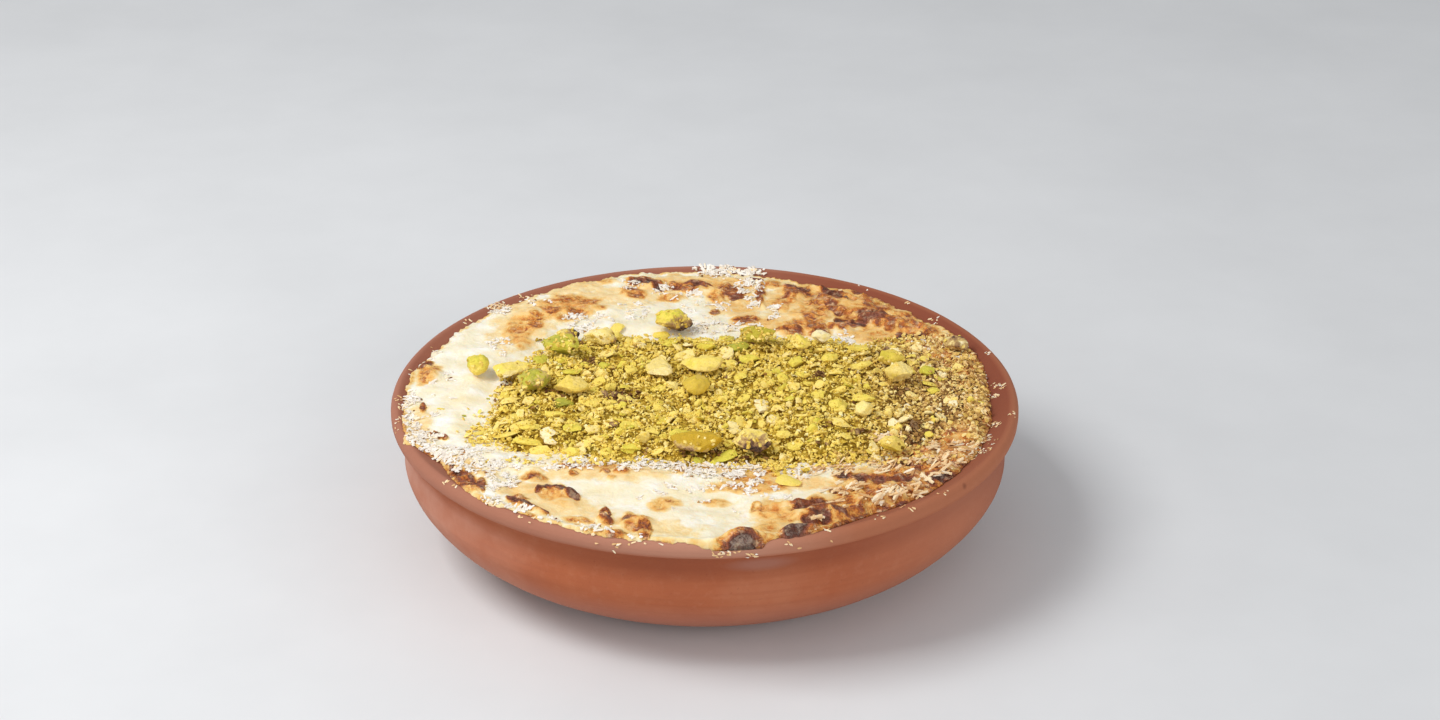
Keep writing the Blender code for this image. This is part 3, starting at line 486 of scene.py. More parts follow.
def relief(x, y, brown):
    """Heights of the skin's blisters and folds and of its small lumps, and where its ridges are, for
    painted highlight on them and painted shade round them.
    """
    domes = np.zeros(len(x))
    for bx, by, length, width, rise, heading in BLISTERS:
        halves = (length * MM / 2, width * MM / 2)
        along, across = turned_to(x, y, (bx * MM, by * MM), halves, heading)
        dome = np.clip(1 - along**2 - across**2, 0, 1) ** 0.7
        domes = np.maximum(domes, rise * MM * dome)
    for line in FOLDS:
        near = off_line(x / MM, y / MM, line) / FOLD_WIDTH
        domes = np.maximum(domes, FOLD_HEIGHT * np.clip(1 - near**2, 0, 1))
    soft, small, wavy = (
        np.array([lumps(a, stretch * b, size * MM, seed) for a, b in zip(x, y)])
        for stretch, size, seed in ((1, 6, 4.7), (1, 2.8, 1.9), (1.5, 6.4, 6.6))
    )
    wrinkles = np.clip(1 - (3.6 * (wavy + 0.2 * small)) ** 2, 0, 1)
    crust = np.clip(brown * 2 - 0.2, 0, 1)
    ridges = crust * wrinkles
    lift = 0.55 * soft + (0.12 + 0.4 * crust) * small + ridges
    return domes, lift * MM, ridges - 0.4 * crust


# ---------------------------------------------------------------- meshes


def new_object(name, points, faces, is_smooth=True):
    mesh = bpy.data.meshes.new(name)
    mesh.from_pydata([tuple(p) for p in points], [], faces)
    mesh.validate()
    if is_smooth:
        mesh.shade_smooth()
    return in_scene(name, mesh)


def in_scene(name, data):
    obj = bpy.data.objects.new(name, data)
    bpy.context.scene.collection.objects.link(obj)
    return obj


def set_values(obj, name, values):
    attribute = obj.data.attributes.new(name, "FLOAT", "POINT")
    attribute.data.foreach_set("value", np.asarray(values, np.float32))


def dress(obj, surface, slot, *nodes):
    obj.data.materials.clear()
    obj.data.materials.append(surface)
    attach(obj, "root")
    if nodes:
        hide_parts(*nodes)


def all_round(sectors):
    return np.arange(sectors) * math.tau / sectors


def closed_faces(rows, sectors):
    """Faces of a form made of a first point, rows of points round it, and a last point."""
    faces = [(0, 1 + k, 1 + (k + 1) % sectors) for k in range(sectors)]
    for a in range(1, 1 + (rows - 1) * sectors, sectors):
        for k in range(sectors):
            n = (k + 1) % sectors
            faces.append((a + k, a + sectors + k, a + sectors + n, a + n))
    a = 1 + (rows - 1) * sectors
    return faces + [(a + sectors, a + (k + 1) % sectors, a + k) for k in range(sectors)]


def arc(centre, radii, start, end, steps):
    angles = (math.radians(start + (end - start) * i / steps) for i in range(steps + 1))
    return [(centre[0] + radii[0] * math.cos(a), centre[1] + radii[1] * math.sin(a)) for a in angles]


def belly(widest, foot, steps):
    power = 2 / BELLY_FULLNESS
    points = []
    for i in range(steps + 1):
        turn = math.pi / 2 * i / steps
        out = max(math.cos(turn), 0) ** power
        down = math.sin(turn) ** power
        radius = foot[0] + (widest[0] - foot[0]) * out
        points.append((radius, widest[1] + (foot[1] - widest[1]) * down))
    return points


def spline(points, steps):
    """A smooth line through points, without its two end points."""
    line = []
    for i in range(1, len(points) - 2):
        a, b, c, d = (np.array(points[i + k]) for k in (-1, 0, 1, 2))
        for t in np.arange(steps) / steps:
            bend = (2 * a - 5 * b + 4 * c - d) * t * t + (3 * b - a - 3 * c + d) * t**3
            line.append(tuple(0.5 * (2 * b + (c - a) * t + bend)))
    return line


def hollow_outline(steps):
    widest = (BELLY_RADIUS - WALL, BELLY_HEIGHT + WALL / 3)
    foot = (BASE_RADIUS - WALL / 2, FLOOR)
    return [(0, FLOOR), *reversed(belly(widest, foot, steps)), BEVEL_FOOT]


def dish_outline():
    crest_centre = (CREST_RADIUS, LIP_TOP - CREST_DROP)
    crest_radii = (RIM_RADIUS - CREST_RADIUS, CREST_DROP)
    slope_radii = [BEVEL_FOOT[0] + LIP_STEP * i for i in range(1, 8)]
    slope = [(radius, lip_height(radius)) for radius in slope_radii]
    crest = arc(crest_centre, crest_radii, 90, 0, 12)
    bead_centre = (RIM_RADIUS - BEAD_RADIUS, BEAD_HEIGHT)
    bead = arc(bead_centre, (BEAD_RADIUS, BEAD_RADIUS), 0, -70, 8)
    groove = [(radius * MM, height * MM) for radius, height in GROOVE]
    wall = belly((BELLY_RADIUS, BELLY_HEIGHT), (BASE_RADIUS, 0), 46)
    under = spline([bead[-2], bead[-1], *groove, wall[0], wall[1]], 7)
    foot = [(radius * MM, 0) for radius in FOOT_RADII]
    return [*hollow_outline(10), *slope, *crest, *bead[:-1], *under, *wall, *foot, (0, 0)]


def clay_wobble(place):
    """Hand-turned unevenness: rings that run round the wall, and slow dents."""
    angle = math.atan2(place.y, place.x)
    ring = noise.noise(Vector((0.4 * angle, place.z / (1.6 * MM), 3.3)))
    dent = noise.noise(place / (22 * MM))
    fine = noise.noise(place / (5 * MM))
    return (0.05 * ring + 0.16 * dent + 0.05 * fine) * MM


def make_dish(surface):
    """The dish's outline, turned from axis to axis, with each point moved a little outwards."""
    outline = dish_outline()
    ways = [Vector((math.cos(angle), math.sin(angle), 0)) for angle in all_round(DISH_SECTORS)]
    points = [Vector((0, 0, outline[0][1]))]
    for radius, height in outline[1:-1]:
        for way in ways:
            place = Vector((radius * way.x, radius * way.y, height))
            points.append(place + way * clay_wobble(place))
    points.append(Vector((0, 0, outline[-1][1])))
    dish = new_object("clay_dish", points, closed_faces(len(outline) - 2, DISH_SECTORS))
    dress(dish, surface, "terracotta", "dish")
    return dish


def top_of_cream(angles, edges):
    """Places on the cream's rings, and how brown each is."""
    radii = CREAM_RINGS[:, None] * edges[None, :]
    x, y = (radii * np.cos(angles)).ravel(), (radii * np.sin(angles)).ravel()
    flat = np.array([food_height(a, b) for a, b in zip(x, y)])
    pixels = np.array([photo_pixel(Vector(p)) for p in zip(x, y, flat)])
    rough = np.array([rough_lumps(a, b, 0, 5 * MM, 2.2) for a, b in zip(x, y)])
    brown = browning(pixels[:, 0], pixels[:, 1], 0.42 * rough)
    from_edge = ((1 - CREAM_RINGS)[:, None] * edges[None, :]).ravel()
    tone = np.tile([around(EDGE_BROWN, a) for a in angles], len(CREAM_RINGS)) + 0.3 * rough
    brown = np.maximum(brown, tone * np.clip(1.3 - from_edge / (1.8 * MM), 0, 1))
    inland = np.clip(from_edge / (2 * MM), 0, 1)
    domes, lift, ridges = relief(x, y, brown)
    z = flat + domes + lift * (0.15 + 0.85 * inland)
    z -= (1 - inland) ** 2 * np.clip(0.8 * MM - domes, 0, None)
    # Crust ridges are painted paler and the crust between them browner: painted highlight and shade.
    return list(zip(x, y, z)), list(np.clip(brown - 0.2 * ridges * (brown < 0.85), 0, 1))


def make_cream(surface):
    """The filling: a dense top out to the ragged edge, and the dish's inside below it."""
    angles = all_round(CREAM_SECTORS)
    edges = np.array([edge_radius(a) for a in angles])
    points, values = top_of_cream(angles, edges)
    values += values[-CREAM_SECTORS:] * len(FILM_FOOT)
    for share, lift in FILM_FOOT:
        for a, radius in zip(angles, edges * share):
            height = lip_height(radius) + lift * MM
            points.append((radius * math.cos(a), radius * math.sin(a), height))
    for radius, height in reversed(hollow_outline(3)[1:]):
        radius, height = radius - INNER_GAP, height + INNER_GAP
        points += [(radius * math.cos(a), radius * math.sin(a), height) for a in angles]
    points = [(0, 0, HEAP_FLOOR - MM), *points, (0, 0, FLOOR + INNER_GAP)]
    values = [0.0, *values]
    values += [0.0] * (len(points) - len(values))
    rows = (len(points) - 2) // CREAM_SECTORS
    cream = new_object("cream_top", points, closed_faces(rows, CREAM_SECTORS))
    set_values(cream, "brown", values)
    dress(cream, surface, "baked_cream", "filling")
    return cream


def heap_ring(share, angles, edges):
    """Places round the heap, some share of the way out from its centre to its edge."""
    for angle, edge in zip(angles, edges):
        x = HEAP_CENTRE[0] + share * edge * math.cos(angle)
        yield x, HEAP_CENTRE[1] + share * edge * math.sin(angle)


def make_bed(surface):
    """The core of the ground pistachio, closed, under the loose grains, painted darker as shade between
    them.
    """
    angles = all_round(BED_SECTORS)
    edges = [heap_radius(a) for a in angles]
    points = [(*HEAP_CENTRE, heap_height(*HEAP_CENTRE))]
    for share in BED_RINGS:
        low = 0.9 * smooth((share - 0.93) / 0.07)
        for x, y in heap_ring(share, angles, edges):
            grain = 0.5 * lumps(x, y, 1.5 * MM, 4.1) + 0.3 * lumps(x, y, 0.8 * MM, 2.6) - 0.4
            points.append((x, y, heap_height(x, y) + (grain - low) * MM))
    for share in (1.0, 0.5):
        points += [(x, y, BED_BOTTOM) for x, y in heap_ring(share, angles, edges)]
    points.append((*HEAP_CENTRE, BED_BOTTOM))
    bed = new_object("ground_bed", points, closed_faces(len(BED_RINGS) + 2, BED_SECTORS))
    # The core is darker than the grains: painted shade in the gaps between them.
    set_values(bed, "hue", [0.12 + 0.25 * lumps(x, y, 1.7 * MM, 3.7) for x, y, _ in points])
    set_values(bed, "tan", tan_share([place[0] for place in points]))
    dress(bed, surface, "ground_pistachio", "pistachio_heap")
    return bed


def smooth_copy(node, name):
    """A subdivided copy of one of the part's nodes."""
    form = bmesh.new()
    form.from_mesh(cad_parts[node].data)
    bmesh.ops.remove_doubles(form, verts=form.verts, dist=0.02 * MM)
    mesh = bpy.data.meshes.new(name)
    form.to_mesh(mesh)
    form.free()
    copy = in_scene(name, mesh)
    subdivision = copy.modifiers.new("Smooth", "SUBSURF")
    is_long = max(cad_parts[node].dimensions) > LONG_KERNEL
    subdivision.levels = subdivision.render_levels = 3 if is_long else 2
    bpy.context.view_layer.update()
    graph = bpy.context.evaluated_depsgraph_get()
    copy.data = bpy.data.meshes.new_from_object(copy.evaluated_get(graph))
    copy.modifiers.clear()
    return copy


def fitted(places, low, high):
    """Stretches places so that they just fill a box."""
    least, most = places.min(0), places.max(0)
    return low + (places - least) * (high - low) / (most - least)


def chipped(unit, number):
    """Presses flats into a rounded form that is two across, and gives each flat a shade."""
    draw = random.Random(number)
    shade = np.zeros(len(unit))
    for _ in range(FLATS):
        way = np.array(random_way(draw))
        over = np.clip(unit @ way - draw.uniform(0.55, 0.84), 0, None)
        shade = np.where(over > 0.02, draw.uniform(-1, 1), shade)
        unit = unit - 0.86 * over[:, None] * way
    return unit, shade


def streaks(places, middle, number):
    """Fine noise, drawn out along a kernel's length."""
    flat = places[:, :2] - middle[:2]
    way = np.linalg.eigh(np.cov(flat.T))[1][:, 1]
    along, across = flat @ way, flat @ np.array((-way[1], way[0]))
    ways = zip(along / STREAK, across, places[:, 2])
    return np.array([rough_lumps(*way, 0.9 * MM, number) for way in ways])


def make_kernel(number, look, surface):
    """A smoothed copy of the part's own kernel, with its colours in its vertices."""
    bottom, top, golden, skin, way, _ = look
    nut = smooth_copy(f"kernel_{number:02d}", f"nut_{number:02d}")
    places = np.empty(len(nut.data.vertices) * 3)
    nut.data.vertices.foreach_get("co", places)
    low, high = (np.array(corner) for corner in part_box(f"kernel_{number:02d}"))
    middle, half = (low + high) / 2, (high - low) / 2
    unit, shade = chipped((fitted(places.reshape(-1, 3), low, high) - middle) / half, number)
    places = middle + unit * half
    wrinkle = np.array([rough_lumps(*p, 2.0 * MM, number + 0.5) for p in places])
    away = unit / half
    away /= np.linalg.norm(away, axis=1)[:, None]
    rough = 0.36 * wrinkle + 0.2 * streaks(places, middle, number)
    places = fitted(places + away * (rough * MM)[:, None], low, high)
    nut.data.vertices.foreach_set("co", places.ravel())
    nut.data.update()
    nut.data.shade_smooth()
    blend = np.clip(unit[:, 2] * 0.5 + 0.5 + 0.35 * wrinkle, 0, 1)
    facing = unit @ (np.array(way) / max(np.linalg.norm(way), 1e-6))
    covered = np.clip((facing - 0.8 + 1.4 * skin + 0.6 * wrinkle) * 0.85, 0, 1)
    set_values(nut, "hue", bottom + (top - bottom) * blend + 0.12 * shade)
    set_values(nut, "skin", covered * (skin > 0))
    set_values(nut, "golden", np.full(len(unit), golden))
    dress(nut, surface, "pistachio_kernel", f"kernel_{number:02d}")
    return nut


# ---------------------------------------------------------------- small shapes


def random_way(draw):
    return Vector([draw.gauss(0, 1) for _ in range(3)]).normalized()


def shape_of(form):
    bmesh.ops.triangulate(form, faces=form.faces)
    form.verts.index_update()
    points = np.array([v.co for v in form.verts])
    faces = np.array([[v.index for v in f.verts] for f in form.faces])
    form.free()
    return points, faces


def shard(draw, corners):
    """An angular chip about one across: the hull of points near a rounded box."""
    form = bmesh.new()
    for _ in range(corners):
        way = random_way(draw)
        box = way / max(abs(c) for c in way)
        form.verts.new((way * 0.5).lerp(box * 0.5, 0.45) * draw.uniform(0.86, 1))
    bmesh.ops.convex_hull(form, input=form.verts)
    loose = [v for v in form.verts if not v.link_faces]
    bmesh.ops.delete(form, geom=loose, context="VERTS")
    return shape_of(form)


def ribbon(draw):
    """A curled strip, one long, one wide and one high, with four sides."""
    bend, twist, curl = draw.uniform(-0.3, 0.3), draw.uniform(-1, 1), draw.uniform(0.03, 0.22)
    form, rows = bmesh.new(), []
    for along in (-0.5, -0.25, 0.0, 0.25, 0.5):
        taper = 1 - 1.6 * along * along
        centre = Vector((along, bend * (along * along - 0.1), curl * (0.25 - along * along) * 1.4))
        turn = Matrix.Rotation(twist * along * 2, 3, "X")
        corners = [Vector((0, a * taper, b)) / 2 for a, b in ((1, 1), (-1, 1), (-1, -1), (1, -1))]
        rows.append([form.verts.new(centre + turn @ corner) for corner in corners])
    for first, second in zip(rows, rows[1:]):
        for k in range(4):
            n = (k + 1) % 4
            form.faces.new((first[k], first[n], second[n], second[k]))
    form.faces.new(rows[0][::-1])
    form.faces.new(rows[-1])
    bmesh.ops.recalc_face_normals(form, faces=form.faces)
    return shape_of(form)


class Pile:
    """Many small closed shapes joined in one mesh, each with its own values."""

    def __init__(self, name, draw, shapes):
        self.name, self.draw, self.shapes = name, draw, shapes
        self.points, self.faces, self.values, self.count = [], [], {}, 0

    def pick(self):
        return self.draw.choice(self.shapes)

    def add(self, shape, turn, size, place, **values):
        points, faces = shape
        self.points.append((points * np.array(size)) @ np.array(turn.to_matrix()).T + np.array(place))
        self.faces.append(faces + self.count)
        self.count += len(points)
        for key, value in values.items():
            self.values.setdefault(key, []).append(np.full(len(points), value))

    def build(self, surface, slot):
        points, faces = np.concatenate(self.points), np.concatenate(self.faces)
        obj = new_object(self.name, points, faces.tolist(), False)
        for key, value in self.values.items():
            set_values(obj, key, np.concatenate(value))
        dress(obj, surface, slot)
        return obj


# ---------------------------------------------------------------- scattering


def tree_of(objects):
    points, faces = [], []
    for obj in objects:
        first = len(points)
        points += [v.co.copy() for v in obj.data.vertices]
        faces += [[first + i for i in p.vertices] for p in obj.data.polygons]
    return BVHTree.FromPolygons(points, faces)


def seen_at(tree, px, py):
    """The place and slope that a pixel of the photograph shows."""
    return tree.ray_cast(CAMERA_PLACE, ray_to(px, py))[:2]


def near(draw, px, py, half_width, half_height):
    """A place in an ellipse with a soft edge."""
    far, angle = math.sqrt(draw.random()) * draw.uniform(0.8, 1.25), draw.uniform(0, math.tau)
    return px + half_width * far * math.cos(angle), py + half_height * far * math.sin(angle)


def lie_on(normal, heading, tilt, draw):
    """A turn that lays a piece on a slope, at a heading, tipped a little."""
    upright = Vector((0, 0, 1)).rotation_difference(normal)
    tip = Euler((draw.uniform(-tilt, tilt), draw.uniform(-tilt, tilt), 0)).to_quaternion()
    return upright @ Euler((0, 0, heading)).to_quaternion() @ tip


def any_turn(draw):
    return Euler([draw.uniform(0, math.tau) for _ in range(3)]).to_quaternion()


def raised(place, height):
    return place + Vector((0, 0, height))


def patches(x, y):
    return lumps(x, y, 14 * MM, 2.9)


def in_dark_crumb_spots(place):
    px, py = photo_pixel(place)
    return any(math.hypot((px - x) / w, (py - y) / h) < 1 for x, y, w, h in DARK_CRUMB_SPOTS)


class Nuts:
    """Pistachio in pieces, down to fine grains, that lie on the ground and keep clear of big ones."""

    def __init__(self, below, kernels):
        self.draw = random.Random(5)
        self.ground, self.big = tree_of(below), tree_of(kernels)
        self.flakes, self.grains, self.crumbs, self.chips = (
            Pile(name, self.draw, [shard(self.draw, corners) for _ in range(NUT_SHAPES)])
            for name, corners in NUT_PILES
        )

    def landing(self, x, y):
        return self.ground.ray_cast(Vector((x, y, ABOVE)), Vector((0, 0, -1)))[:2]

    def is_free(self, place, reach):
        return self.big.find_nearest(place)[3] > reach

    def hides_nut(self, place):
        """Whether a piece there stands before a nut, as the camera sees it."""
        top = raised(place, 0.6 * MM)
        return self.big.ray_cast(top, (top - CAMERA_PLACE).normalized(), BEHIND)[0] is not None

    def on_heap(self, margin):
        """A place on the heap, or less often in a margin round it."""
        while True:
            x, y = (c + self.draw.uniform(*span) * MM for c, span in zip(HEAP_CENTRE, HEAP_SPAN))
            out = outside_heap(x, y)
            if out < margin and self.draw.random() < 1 - smooth(out / margin):
                return x, y

    def add_chunks(self):
        for x, y, length, width, height, heading, green in CHUNKS:
            turn = lie_on(Vector((0, 0, 1)), math.radians(heading), 0.15, self.draw)
            size = (length * MM, width * MM, 0.8 * height * MM)
            place = raised(self.landing(x * MM, y * MM)[0], 0.2 * height * MM)
            self.flakes.add(self.flakes.pick(), turn, size, place, hue=green, skin=0.0)

    def add_flakes(self):
        for px, py, length, width, heading, green in FLAKES:
            place, normal = seen_at(self.ground, px, py)
            turn = lie_on(normal, math.radians(heading), 0.1, self.draw)
            thick = min(0.35 * width, 1.7) * MM
            size = (length * MM, width * MM, thick)
            place = place + normal * 0.36 * thick
            self.flakes.add(self.flakes.pick(), turn, size, place, hue=green, skin=0.0)

    def add_chip(self):
        draw = self.draw
        x, y = self.on_heap(1.5 * MM)
        length = (1.7 + 3.6 * draw.random() ** 2.2) * MM
        place, normal = self.landing(x, y)
        if place is None or not self.is_free(place, 0.6 * length) or self.hides_nut(place):
            return
        if x > FEWER_CHIPS and draw.random() < 0.25:
            return
        flat = draw.random() < 0.8
        thick = 0.26 if flat else draw.uniform(0.45, 0.7)
        size = (length, length * draw.uniform(0.55, 0.9), length * thick)
        turn = lie_on(normal, draw.gauss(0, 0.9), 0.5, draw) if flat else any_turn(draw)
        hue = clamp(draw.gauss(0.4, 0.11) + 0.24 * patches(x, y), 0.15, 0.8)
        hue -= 0.3 * float(tan_share(x)) * draw.random()
        # Chips in the dark crumb spots get brown skin: nut skin, and painted shade under the kernels.
        skin = 0.7 if draw.random() < (0.6 if in_dark_crumb_spots(place) else 0.015) else 0.0
        place = raised(place, 0.12 * length)
        self.chips.add(self.chips.pick(), turn, size, place, hue=max(hue, 0), skin=skin)

    def add_crumb(self, place, normal, brown):
        draw = self.draw
        length = draw.uniform(0.9, 2.5) * MM
        if not self.is_free(place, 0.4 * length) or (self.hides_nut(place) and draw.random() < 0.8):
            return
        size = (length, length * draw.uniform(0.5, 0.85), length * draw.uniform(0.26, 0.56))
        hue = clamp(draw.gauss(0.5, 0.17) + 0.3 * patches(place.x, place.y))
        tan = brown * draw.uniform(0.6, 1.2)
        # Crumbs in the dark crumb spots are brown: nut skin, and painted shade under the kernels.
        if draw.random() < (0.8 if in_dark_crumb_spots(place) else 0.03):
            hue, tan = draw.uniform(-0.1, 0.3), 1.0
        turn = lie_on(normal, draw.uniform(0, math.tau), 0.55, draw)
        place = place + normal * draw.uniform(0.05, 0.4) * length
        self.crumbs.add(self.crumbs.pick(), turn, size, place, hue=hue, tan=tan)

    def add_crumbs(self):
        for _ in range(CRUMBS):
            x, y = self.on_heap(2.5 * MM)
            place, normal = self.landing(x, y)
            if place is not None:
                self.add_crumb(place, normal, float(tan_share(x)))

    def add_strays(self):
        for *spot, count, brown in STRAYS:
            for _ in range(count):
                place, normal = seen_at(self.ground, *near(self.draw, *spot))
                if place is not None and past_edge(place) < -MM:
                    self.add_crumb(place, normal, brown)

    def add_dust(self):
        """Crumbs that cling to the kernels."""
        draw = self.draw
        for number, (*_, count) in KERNELS.items():
            low, high = (Vector(corner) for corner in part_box(f"kernel_{number:02d}"))
            for _ in range(count):
                target = Vector([draw.uniform(a, b) for a, b in zip(low, high)])
                way = (target - CAMERA_PLACE).normalized()
                place, normal = self.big.ray_cast(CAMERA_PLACE, way)[:2]
                if place is None:
                    continue
                length = draw.uniform(0.8, 2.0) * MM
                turn = lie_on(normal, draw.uniform(0, math.tau), 0.4, draw)
                hue = clamp(draw.gauss(0.5, 0.2))
                size = (length, 0.8 * length, 0.5 * length)
                place = place + normal * 0.1 * length
                self.crumbs.add(self.crumbs.pick(), turn, size, place, hue=hue, tan=0.2)

    def add_grain(self, keeps_clear):
        draw = self.draw
        x, y = self.on_heap(4 * MM)
        length = draw.uniform(0.6, 1.5) * MM
        place, normal = self.landing(x, y)
        if place is None or not self.is_free(place, 0.4 * length):
            return
        if keeps_clear and self.hides_nut(place):
            return
        size = [length * draw.uniform(0.5, 1) for _ in range(3)]
        hue = clamp(draw.gauss(0.54, 0.15))
        tan = float(tan_share(x)) * draw.uniform(0.6, 1.3)
        # Grains in the dark crumb spots are brown: nut skin, and painted shade under the kernels.
        if draw.random() < 0.8 and in_dark_crumb_spots(place):
            hue, tan = draw.uniform(-0.2, 0.25), 1.0
        place = raised(place, draw.uniform(0, 0.45) * length)
        self.grains.add(self.grains.pick(), any_turn(draw), size, place, hue=hue, tan=tan)


def scatter_nuts(below, kernels, bed_surface, nut_surface):
    """Lays big pieces, then crumbs round them, then grains, by turns on the bare bed and over all."""
    nuts = Nuts(below, kernels)
    nuts.add_chunks()
    nuts.add_flakes()
    flakes = nuts.flakes.build(nut_surface, "pistachio_kernel")
    nuts.big = tree_of([*kernels, flakes])
    for _ in range(CHIPS):
        nuts.add_chip()
    nuts.add_crumbs()
    nuts.add_strays()
    nuts.add_dust()
    crumbs = nuts.crumbs.build(bed_surface, "ground_pistachio")
    chips = nuts.chips.build(nut_surface, "pistachio_kernel")
    bare, covered = nuts.ground, tree_of([*below, crumbs, chips, flakes])
    nuts.big = tree_of(kernels)
    for number in range(GRAINS):
        is_low = number % 2 == 1
        nuts.ground = bare if is_low else covered
        nuts.add_grain(is_low)
    nuts.grains.build(bed_surface, "ground_pistachio")


def toasted(px, py):
    """The coconut at the front right is tanned."""
    return smooth((px - 780) / 50) * smooth((py - 425) / 20)


def sizes(draw, *spans):
    return [draw.uniform(*span) * MM for span in spans]


class Coconut:
    """Shreds, flakes and crumbs of coconut in drifts, and bits of it on the rim."""

    def __init__(self, ground):
        self.ground = ground
        self.draw = draw = random.Random(8)
        self.shreds = Pile("coconut_shreds", draw, [ribbon(draw) for _ in range(10)])
        self.flakes = Pile("coconut_flakes", draw, [shard(draw, 12) for _ in range(12)])
        self.crumbs = Pile("coconut_crumbs", draw, [shard(draw, 10) for _ in range(8)])

    def add_drift(self, px, py, half_width, half_height, count, layers):
        draw = self.draw
        tufts = [near(draw, px, py, half_width, half_height) for _ in range(1 + count // 6)]
        for _ in range(count):
            x, y = draw.choice(tufts)
            place, normal = seen_at(self.ground, *(draw.gauss(*way) for way in zip((x, y), TUFT)))
            if place is None or place.z < DRIFTS_ABOVE:
                continue
            at_back = px <= 760 and py <= 280  # where the drift lies over the edge, on the rim
            if at_back or past_edge(place) <= draw.uniform(-1, 0.4) * MM:
                self.add_piece(place, normal, toasted(px, py), layers - 1)

    def add_piece(self, place, normal, tan, depth):
        draw = self.draw
        toast = max(draw.gauss(0.05, 0.08), 0) + tan * (0.16 + 0.45 * draw.random() ** 2)
        kind = draw.random() - 0.45 * tan
        height = draw.uniform(0.06, 0.2 + 0.3 * depth + 0.2 * tan) * MM
        along = draw.random() < 0.5 + 0.4 * tan
        heading = draw.gauss(0.5 * tan, 0.6 - 0.2 * tan) if along else draw.uniform(0, math.tau)
        turn = lie_on(normal, heading, 0.25, draw)
        if kind < 0.16:
            size = (*sizes(draw, (1.5, 3.4 + 1.6 * tan), (0.45, 0.9)), THIN)
            self.shreds.add(self.shreds.pick(), turn, size, place + normal * height, toast=toast)
        elif kind < 0.76:
            size = sizes(draw, (0.9, 2.5), (0.6, 1.3 - 0.3 * tan), (0.3, 0.65))
            self.flakes.add(self.flakes.pick(), turn, size, place + normal * height, toast=toast)
        else:
            size = sizes(draw, *[(0.5, 1.3)] * 3)
            if draw.random() < 0.06 + 0.14 * depth + 0.3 * tan:
                toast = draw.uniform(0.6, 0.95)
            place = place + normal * draw.uniform(0.1, 0.3) * MM
            self.crumbs.add(self.crumbs.pick(), any_turn(draw), size, place, toast=toast)

    def add_bits(self, px, py, half_width, half_height, count):
        draw = self.draw
        for _ in range(count):
            place, normal = seen_at(self.ground, *near(draw, px, py, half_width, half_height))
            if place is None or place.z < BITS_ABOVE:
                continue
            size = (*sizes(draw, (0.6, 2.2), (0.4, 0.8)), THIN)
            turn = lie_on(normal, draw.gauss(0, 0.5), 0.15, draw)
            place = place + normal * 0.12 * MM
            self.flakes.add(self.flakes.pick(), turn, size, place, toast=draw.uniform(0.1, 0.5))


def scatter_coconut(ground, surface):
    pieces = Coconut(ground)
    for drift in COCONUT:
        pieces.add_drift(*drift)
    for bits in RIM_BITS:
        pieces.add_bits(*bits)
    for pile in (pieces.shreds, pieces.flakes, pieces.crumbs):
        pile.build(surface, "baked_cream")


# ---------------------------------------------------------------- materials


def rgb(red, green, blue):
    """An sRGB colour, 0 to 255, as Blender's linear one."""
    shares = [c / 255 for c in (red, green, blue)]
    return (*(s / 12.92 if s <= 0.04 else ((s + 0.055) / 1.055) ** 2.4 for s in shares), 1)


